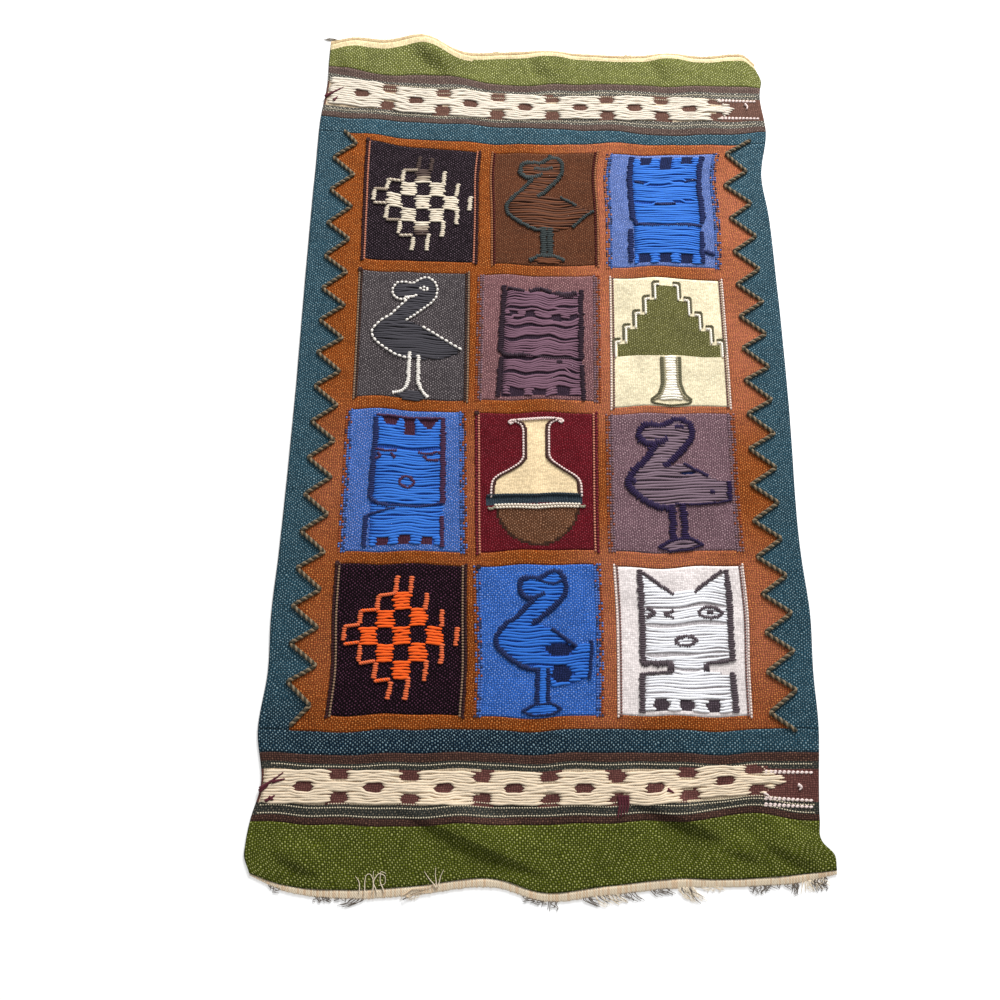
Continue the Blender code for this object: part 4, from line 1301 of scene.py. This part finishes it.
lay_yarns("tree_yarns", parts, [wool_yarn("tree_white_yarn", "F4EEE0", 6.0, 0.3, 0.4),
                                wool_yarn("bark_green_yarn", "66624A", 4.0, 0.4),
                                wool_yarn("bark_pale_yarn", "A89E80", 4.0, 0.4)])

# ---------------------------------------------------------------------------------------------
# Gourd vessel. One maroon panel carries a long-necked cream vessel standing in a brown bowl,
# woven in, with a pale beaded cord and a thin dark one down each side of it.
# ---------------------------------------------------------------------------------------------
panel = (1, 1)
wine_wool = wool_weave("wine_wool", "620C18", "92404A", 0.75, 0.5, 0.5)
vessel_wool = wool_weave("vessel_wool", "EED4A8", "F6E4C4", 0.5, 0.4, 0.88)
band_wool = wool_weave("band_wool", "36424C", "505C64", 0.5, 0.4)
bowl_wool = wool_weave("bowl_wool", "643E28", "A88066", 0.85, 0.5, 0.5)
rim_wool = wool_weave("rim_wool", "40281E", "5A4032", 0.5, 0.4)
HALF_VESSEL = [(0.16, 0.0), (0.095, 0.03), (0.078, 0.07), (0.078, 0.285), (0.115, 0.325),
               (0.20, 0.370), (0.285, 0.405), (0.328, 0.435), (0.340, 0.47), (0.344, 0.55)]
vessel = [(0.498 + side * out, 0.949 - down) for side, points in ((-1.0, HALF_VESSEL),
                                                                  (1.0, HALF_VESSEL[::-1]))
          for out, down in points]
band = [(0.09, 0.404), (0.50, 0.388), (0.877, 0.404), (0.877, 0.340), (0.50, 0.325),
        (0.09, 0.340)]
bowls = [[(0.507 + reach * 0.343 * math.cos(turn), 0.325 + 0.295 * reach * math.sin(turn))
          for turn in np.linspace(-math.pi, 0.0, 25)] for reach in (1.0, 0.93)]
weave_panel("gourd_ground", panel, [wine_wool, vessel_wool, rim_wool, bowl_wool, band_wool],
            ([vessel], [bowls[0]], [bowls[1]], [band]))
parts = []
for side in (-1.0, 1.0):
    shell, shade = ([(0.498 + side * (out + gap), 0.949 - down) for out, down in HALF_VESSEL]
                    for gap in (0.026, 0.007))
    parts.append(bead_line(chart_line(panel, shell, 0.0034, 1), 0.0034, 0.0014, 0))
    parts.append(twisted_cord(chart_line(panel, shade, 0.0013, 2), 0.0010, 0.0062, (1, 1)))
    curl = [(0.498 + side * out, up) for out, up in ((0.16, 0.952), (0.21, 0.950), (0.225, 0.935),
                                                     (0.205, 0.925), (0.185, 0.935))]
    parts.append(twisted_cord(chart_line(panel, curl, 0.0011, 2), 0.0009, 0.0062, (0, 0)))
for finish, line in ((0, [(0.34, 0.952), (0.50, 0.948), (0.66, 0.952)]),
                     (2, [(0.09, 0.405), (0.50, 0.390), (0.877, 0.404)]),
                     (3, [(0.10, 0.318), (0.13, 0.305), (0.165, 0.322)]),
                     (3, [(0.845, 0.322), (0.87, 0.312), (0.90, 0.322)])):
    parts.append(twisted_cord(chart_line(panel, line, 0.0013, 1), 0.0010, 0.0062,
                              (finish, finish)))
for drop, shift in ((0.0, 0.0), (0.019, 0.012)):
    row = [(0.165 + shift, 0.332 - drop), (0.50, 0.316 - drop), (0.845 - shift, 0.332 - drop)]
    parts.append(bead_line(chart_line(panel, row, 0.0036, 0), 0.0034, 0.0014, 4, 0.0003))
lay_yarns("gourd_yarns", parts, [wool_yarn("shell_yarn", "EFD9D2", 4.0, 0.3),
                                 wool_yarn("dark_brown_yarn", "4A2E28", 4.0, 0.4),
                                 wool_yarn("band_yarn", "303A42", 4.0, 0.4),
                                 wool_yarn("sage_yarn", "9A9480", 4.0, 0.4),
                                 wool_yarn("lip_yarn", "F2E6D4", 4.0, 0.3)])

# ---------------------------------------------------------------------------------------------
# Seam cords. Two rows of sewing wool run up each side of most panels, where their wefts meet
# those of the field; at the blue and mauve ones the wefts lock through one another. Some corners
# end in a knot.
# ---------------------------------------------------------------------------------------------
SEAM_DYES = ["38181A", "A8704C", "C07A58", "5E2220", "947860", "4E342A", "F0DCD2", "84605A",
             "D08A70", "6E1A28", "5478C0", "8A6E78", "363C5C", "A0502C"]
# Finish of the outer row and of the inner row for each panel; three finishes where the wefts
# of panel and field lock through one another instead
SEAM_ROWS = {(0, 0): (0, 4), (1, 0): (10, 13, 12), (2, 0): (6, 7), (0, 1): (10, 13, 12),
             (1, 1): (9, 8), (2, 1): (11, 13, 7), (0, 2): (4, 5), (1, 2): (11, 13, 7),
             (2, 2): (6, 7), (0, 3): (0, 8), (1, 3): (1, 3), (2, 3): (10, 2, 12)}
seam_yarns = [wool_yarn(f"seam_yarn_{number}", dye, 4.0, 0.4)
              for number, dye in enumerate(SEAM_DYES)]
parts = []
for number, (panel, finishes) in enumerate(SEAM_ROWS.items()):
    for outer, inward in ((0.0, 1.0), (1.0, -1.0)):
        if len(finishes) == 3:
            chance = np.random.default_rng(200 + number)
            for out, odds in ((-0.022, (0.25, 0.65, 0.10)), (0.0, (0.45, 0.35, 0.20)),
                              (0.022, (0.65, 0.10, 0.25))):
                line = chart_line(panel, [(outer + out * inward, 0.0),
                                          (outer + out * inward, 1.0)], 0.0031, 0)
                parts.append(bead_line(line, 0.0026, 0.0012,
                                       chance.choice(finishes, len(line), p=odds), -0.0003))
            continue
        line = chart_line(panel, [(outer + 0.008 * inward, -0.010),
                                  (outer + 0.008 * inward, 1.010)], 0.0034, 0)
        if finishes[0] in (0, 9):
            parts.append(wrapped_line(line, 0.0032, finishes[0], 220 + number))
        else:
            parts.append(bead_line(line, 0.0033, 0.0012, finishes[0]))
        line = chart_line(panel, [(outer + 0.030 * inward, 0.0),
                                  (outer + 0.030 * inward, 1.0)], 0.0032, 0)
        parts.append(bead_line(line, 0.0027, 0.0013, finishes[1]))
for panel in ((0, 2), (1, 0), (0, 3), (0, 0), (1, 1)):
    for turn in (0.0, 1.1, 2.2):
        knot = chart_line(panel, [(0.015 + 0.022 * math.cos(turn), 1.0 + 0.018 * math.sin(turn)),
                                  (0.015 - 0.022 * math.cos(turn), 1.0 - 0.018 * math.sin(turn))],
                          0.0013, 0)
        parts.append(twisted_cord(knot, 0.0009, 0.0050, (0, 5), 0.0006))
half = len(parts) // 2
lay_yarns("seam_cords_near", parts[:half], seam_yarns)
lay_yarns("seam_cords_far", parts[half:], seam_yarns)

# ---------------------------------------------------------------------------------------------
# Chained bands. Twelve thick undyed yarns lie level over the maroon stripe at each end. They part
# round a row of middle blocks, and the outer ones break off at a row of blocks above and one
# below, so that the ground shows between them as a chain.
# ---------------------------------------------------------------------------------------------
CHAIN_STRANDS = 12
# Shares of the width: how far the yarns break off from the middle of a block, how much less at
# the edge of an outer block, how far the yarns part round a middle one, and the yarns' own steps
MIDDLE_REACH, OUTER_REACH, OUTER_TAPER = 0.0140, 0.0178, 0.022
PART_REACH = 0.0205
CHAIN_STEP = 0.0055
# How much the yarns draw in at the node blocks: the near ones, the far ones and the outer ones
NEAR_PINCH, FAR_PINCH, OUTER_PINCH = 0.36, 0.26, 0.05
# Height in metres and waves along the share of each strand's own sway
CHAIN_SWAY = ((0.00040, 95.0), (0.00035, 43.0), (0.00020, 210.0))


def chain_yarns(chain, stops, seed):
    """Yarns over one band. Strand g of -1 to 1 runs at middle + sign(g) (gap + |g| (half height
    - gap)), where the gap opens as a parabola at each middle block; the middle two strands are
    cut there, and those past the middle four at the node blocks of their own side."""
    middle, half_height, opening, _, centres, far_side, near_side = chain
    nodes = (near_side, far_side)
    chance = np.random.default_rng(seed)
    made = []
    for place in (2.0 * np.arange(CHAIN_STRANDS) + 1.0) / CHAIN_STRANDS - 1.0:
        side, outer = (1 if place > 0.0 else 0), abs(place) > 0.4
        ends = [stops[0] + chance.uniform(0.0, 0.006), stops[1] - 0.050 * abs(place) ** 1.5
                + chance.uniform(-0.005, 0.005)]
        if outer:
            reach = OUTER_REACH - OUTER_TAPER * abs(abs(place) - 0.7)
            cuts = nodes[side]
        else:
            reach, cuts = MIDDLE_REACH, (centres if abs(place) < 0.1 else ())
        for node in cuts:
            ends += [node - reach + chance.uniform(-0.0015, 0.0015),
                     node + reach + chance.uniform(-0.0015, 0.0015)]
        ends = np.sort(ends)
        for first, last in zip(ends[::2], ends[1::2]):
            share = np.linspace(first, last, max(int((last - first) / CHAIN_STEP), 3))
            half = np.interp(share, *np.array(half_height).T)
            gap = (opening - 0.20) * half * np.clip(1.35 - 1.35 * (
                abs(share[:, None] - centres).min(axis=1) / PART_REACH) ** 2, 0.0, 1.0)
            room = half - gap
            away = gap + abs(place) * room
            sway = chance.uniform(0.0, 6.3, 3)
            stray = sum(height * np.sin(share * waves + start)
                        for (height, waves), start in zip(CHAIN_SWAY, sway))
            nearest = abs(share[:, None] - np.array(nodes[side])).min(axis=1)
            pinch = OUTER_PINCH if outer else (NEAR_PINCH, FAR_PINCH)[side]
            away = away * (1.0 - pinch * ease(nearest, 0.045, 0.012))
            level = np.interp(share, *np.array(middle).T)
            station = level + (2 * side - 1) * away + stray
            bow = np.minimum(np.minimum(share - first, last - share) / 0.010, 1.0) ** 0.5
            width = (0.095 * room * (0.45 + 0.55 * bow))[None]
            line = on_web(share, station, 0.0001 + 0.0007 * bow
                          + 0.0002 * np.sin(share * 160.0 + sway[0]))
            made.append(yarn_surface(line[None], width, 0.0008 * (0.5 + 0.5 * bow)[None], 0))
    return made


def dotted_row(first, last, station, pitch=0.0046, long=0.0028, finish=0, half=0.0008):
    """A weft that shows only where it passes over the warps: a row of short dashes. station is
    one level or a table of share and station."""
    middle = np.arange(first, last, pitch)[:, None]
    share = middle + long * np.array((-0.5, 0.0, 0.5))
    level = np.interp(share, *np.array(station).T) if np.ndim(station) else station + wander(
        share, np.full_like(share, station))
    return yarn_surface(on_web(share, level, np.array((-0.0003, 0.0003, -0.0003))),
                        half * np.array((0.6, 1.0, 0.6)), 0.75 * half, finish)


def loose_thread(points, radius=0.0006, finish=0, lift=0.0008, step=0.0013):
    """One end of yarn lying over the web through points of share and station."""
    share, station = np.array(points).T
    line = even_steps(share, station, step, 3)
    line[:, 2] += lift
    taper = np.linspace(1.0, 0.35, len(line))
    return yarn_surface(line[None], (radius * taper)[None], (0.9 * radius * taper)[None], finish)


chain_cream = wool_yarn("chain_cream_yarn", "E6D3B8", 9.0, 0.6, 0.35)
shot_cream = wool_yarn("shot_cream_yarn", "DCD0B4", 4.0, 0.4)
shot_maroon = wool_yarn("shot_maroon_yarn", "5A2630", 4.0, 0.4)
near_chain = chain_yarns(NEAR_CHAIN, (0.003, CHAIN_STOP + 0.010), 51)
far_chain = chain_yarns(FAR_CHAIN, (0.004, CHAIN_STOP + 0.008), 52)
lay_yarns("near_chain", near_chain, [chain_cream])
lay_yarns("far_chain", far_chain, [wool_yarn("far_chain_yarn", "D8CEBE", 9.0, 0.6, 0.35)])
parts = [dotted_row(0.01, 0.99, 0.0710), dotted_row(0.01, 0.99, 0.0790),
         dotted_row(0.02, 0.99, 0.1210), dotted_row(0.13, 0.99, 0.0830),
         dotted_row(0.01, 0.98, 0.9065),
         dotted_row(0.02, 0.99, 0.9435), dotted_row(0.02, 0.99, 0.9375),
         *(dotted_row(0.905 + 0.5 * shift, 0.992, [(0.90, level + shift), (1.0, level + slope)],
                      0.0080, 0.0058, 2, 0.0015)
           for level, slope in ((0.1130, 0.0), (0.0865, -0.0020), (0.0800, -0.0020),
                                (0.9345, -0.0010), (0.9085, 0.0)) for shift in (0.0, 0.0018)),
         loose_thread([(0.962, 0.1010), (0.970, 0.0985), (0.964, 0.0955)], 0.0020, 2),
         loose_thread([(0.901, 0.0925), (0.911, 0.0900), (0.908, 0.0865)], 0.0014, 2),
         loose_thread([(0.963, 0.9300), (0.969, 0.9260), (0.965, 0.9220)], 0.0018, 2),
         loose_thread([(0.913, 0.9200), (0.920, 0.9160)], 0.0016, 2),
         *(loose_thread([(0.652 + shift, 0.0900), (0.656 + shift, 0.0800),
                         (0.654 + shift, 0.0700 + 0.3 * shift)], 0.0022, 1, 0.0006)
           for shift in (-0.009, -0.004, 0.001, 0.006)),
         loose_thread([(0.728, 0.0960), (0.740, 0.0930)], 0.0024, 1, 0.0012),
         *(loose_thread(points, 0.0022, 1, 0.0012)
           for points in ([(0.000, 0.0975), (0.018, 0.1050), (0.040, 0.1140)],
                          [(0.020, 0.1045), (0.043, 0.1075)],
                          [(0.000, 0.0950), (0.014, 0.1010)],
                          [(0.016, 0.0850), (0.030, 0.0905)], [(0.020, 0.0890), (0.030, 0.0860)],
                          [(0.000, 0.9200), (0.020, 0.9270), (0.040, 0.9340)],
                          [(0.022, 0.9140), (0.030, 0.9200)]))]
lay_yarns("stripe_shots", parts, [shot_cream, shot_maroon,
                                  wool_yarn("shot_shell_yarn", "F0DCD6", 4.0, 0.3)])

# ---------------------------------------------------------------------------------------------
# Bare headers. Beyond the last weft of each end the undyed warps run on for under a centimetre,
# side by side, and are turned; here and there they fray into tufts, loops and fine ends.
# ---------------------------------------------------------------------------------------------
HEADER_GAP = 0.0003
HEADER_THICKNESS = 0.0015
HEADER_RIBS = 400
HEADER_STRAY = 1e-4
TUFT_RADIUS = 0.00050
TUFT_STEPS = 6
# Share of the width, depth of the bare warps in metres
HEADER_DEPTHS = {"near": np.array([(0.00, 0.0018), (0.06, 0.0060), (0.13, 0.0085), (0.20, 0.0098),
                                   (0.45, 0.0088), (0.60, 0.0096), (0.72, 0.0100), (0.80, 0.0078),
                                   (0.93, 0.0092), (1.00, 0.0040)]),
                 "far": np.array([(0.0, 0.0060), (0.3, 0.0064), (0.5, 0.0048), (0.9, 0.0050),
                                  (1.0, 0.0062)])}
# Share of the width, spread in metres, count, length and lean in metres, wool
NEAR_TUFTS = [
    (0.040, 0.008, 5, 0.007, 0.001, 2), (0.125, 0.016, 10, 0.007, 0.003, 2),
    (0.185, 0.012, 9, 0.010, -0.014, 2), (0.150, 0.020, 4, 0.006, 0.004, 2),
    (0.275, 0.014, 7, 0.007, -0.003, 0), (0.484, 0.020, 10, 0.007, 0.001, 2),
    (0.516, 0.010, 6, 0.011, 0.001, 2), (0.590, 0.030, 14, 0.011, 0.010, 2),
    (0.608, 0.024, 12, 0.013, 0.010, 0), (0.642, 0.016, 8, 0.011, 0.009, 2),
    (0.695, 0.018, 9, 0.009, 0.009, 2), (0.742, 0.014, 18, 0.019, 0.010, 0),
    (0.744, 0.012, 6, 0.019, 0.010, 2), (0.790, 0.018, 8, 0.007, 0.001, 0),
    (0.868, 0.016, 13, 0.011, -0.002, 2), (0.900, 0.030, 8, 0.007, 0.002, 2),
    (0.928, 0.005, 8, 0.014, 0.000, 2), (0.958, 0.020, 16, 0.014, 0.004, 0),
    (0.968, 0.014, 16, 0.015, 0.003, 2)]
FAR_TUFTS = [(0.012, 0.006, 8, 0.004, -0.014, 2), (0.390, 0.006, 4, 0.003, 0.001, 0),
             (0.700, 0.006, 4, 0.003, 0.001, 0)]


def header_edge(station, share):
    """Points of the web's end line at its underside."""
    return np.stack(underside(share, np.full_like(share, station)), axis=-1)


def header_ribs(station, outward, depths, seed):
    """Bare warps side by side beyond one end, each a flattened tube of four rings that turns
    down at its outer end."""
    chance = np.random.default_rng(seed)
    share = (np.arange(HEADER_RIBS) + 0.5) / HEADER_RIBS
    root = header_edge(station, share)
    ways = np.array((0.0, 0.35, 0.8, 1.0))
    long = np.interp(share, *depths.T) * chance.uniform(0.90, 1.0, HEADER_RIBS)
    centres = np.repeat(root[:, None], 4, axis=1)
    centres[..., 1] += outward * (HEADER_GAP + ways * long[:, None])
    centres[..., 2] *= 1.0 - 0.5 * ways
    centres[..., 2] += 0.5 * HEADER_THICKNESS + chance.uniform(
        -HEADER_STRAY, HEADER_STRAY, (HEADER_RIBS, 1))
    half = 0.52 * abs(root[-1, 0] - root[0, 0]) / (HEADER_RIBS - 1)
    shape = np.array((1.0, 1.0, 1.0, 0.7))
    finish = (chance.uniform(size=HEADER_RIBS) < 0.30).astype(int)
    return yarn_surface(centres, half * shape, 0.5 * HEADER_THICKNESS * shape, finish)


def header_tufts(station, outward, depths, tufts, seed):
    """Frayed ends: from the header's outer edge each runs out, leans and lies down, finer to
    its tip."""
    chance = np.random.default_rng(seed)
    width = header_edge(station, np.array((0.0, 1.0)))
    width = width[1, 0] - width[0, 0]
    made = []
    ways = np.linspace(0.0, 1.0, TUFT_STEPS)
    for share, spread, count, length, lean, wool in tufts:
        place = share + (np.linspace(-0.5, 0.5, count) + chance.normal(0.0, 0.05, count)
                         ) * spread / width
        root = header_edge(station, place)
        root[:, 1] += outward * (HEADER_GAP + 0.85 * np.interp(place, *depths.T))
        root[:, 2] *= 0.5
        long = length * chance.uniform(0.55, 1.0, (count, 1))
        swing = lean + chance.normal(0.0, 0.0024, (count, 1))
        curl = chance.normal(0.0, 0.0020, (count, 1))
        centres = np.repeat(root[:, None], TUFT_STEPS, axis=1)
        centres[..., 0] += swing * ways ** 1.5 + curl * np.sin(2.0 * math.pi * ways)
        centres[..., 1] += outward * long * ways * (1.0 - 0.12 * ways)
        centres[..., 2] = centres[..., 2] * (1.0 - ways) ** 2 + 0.0005 + 0.0006 * (1.0 - ways)
        radius = TUFT_RADIUS * (1.0 - 0.55 * ways)
        made.append(yarn_surface(centres, radius, 0.8 * radius, wool))
    return made


# Ends that curl back over the green, as share and station
CURLED_ENDS = [
    (0, [(0.196, -0.004), (0.200, 0.006), (0.206, 0.014), (0.214, 0.015), (0.216, 0.008)]),
    (0, [(0.210, -0.003), (0.216, 0.008), (0.228, 0.015), (0.238, 0.012), (0.234, 0.004),
         (0.222, 0.003)]),
    (0, [(0.218, -0.004), (0.214, 0.006), (0.220, 0.017)]),
    (0, [(0.230, -0.004), (0.226, 0.006), (0.232, 0.017), (0.240, 0.014)]),
    (0, [(0.188, -0.002), (0.192, 0.008), (0.188, 0.013)]),
    (0, [(0.318, -0.004), (0.308, 0.006), (0.304, 0.013)]),
    (0, [(0.318, -0.004), (0.320, 0.008), (0.324, 0.015)]),
    (0, [(0.320, -0.004), (0.328, 0.006), (0.336, 0.012)]),
    (1, [(0.262, -0.008), (0.278, -0.002), (0.300, -0.003), (0.318, 0.000)]),
    (1, [(0.268, -0.010), (0.290, -0.006), (0.312, -0.008)]),
    (2, [(0.262, -0.012), (0.280, -0.007), (0.298, -0.005)])]
for label, station, outward, tufts, seed, dyes in (
        ("near", 0.0, -1.0, NEAR_TUFTS, 61, ("EEDEC4", "E6CCAC", "665A4E")),
        ("far", WEB_LENGTH, 1.0, FAR_TUFTS, 62, ("D2BC92", "C8AC84", "6A5E4C"))):
    depths = HEADER_DEPTHS[label]
    parts = [header_ribs(station, outward, depths, seed),
             *header_tufts(station, outward, depths, tufts, seed + 5)]
    if label == "near":
        parts += [loose_thread(points, 0.0006, finish, 0.0006)
                  for finish, points in CURLED_ENDS]
    lay_yarns(f"{label}_header_warps", parts,
              [wool_yarn(f"{label}_{kind}_yarn", dye, 3.0, 0.3)
               for kind, dye in zip(("bare", "peach", "dark_end"), dyes)],
              f"{label}_header")
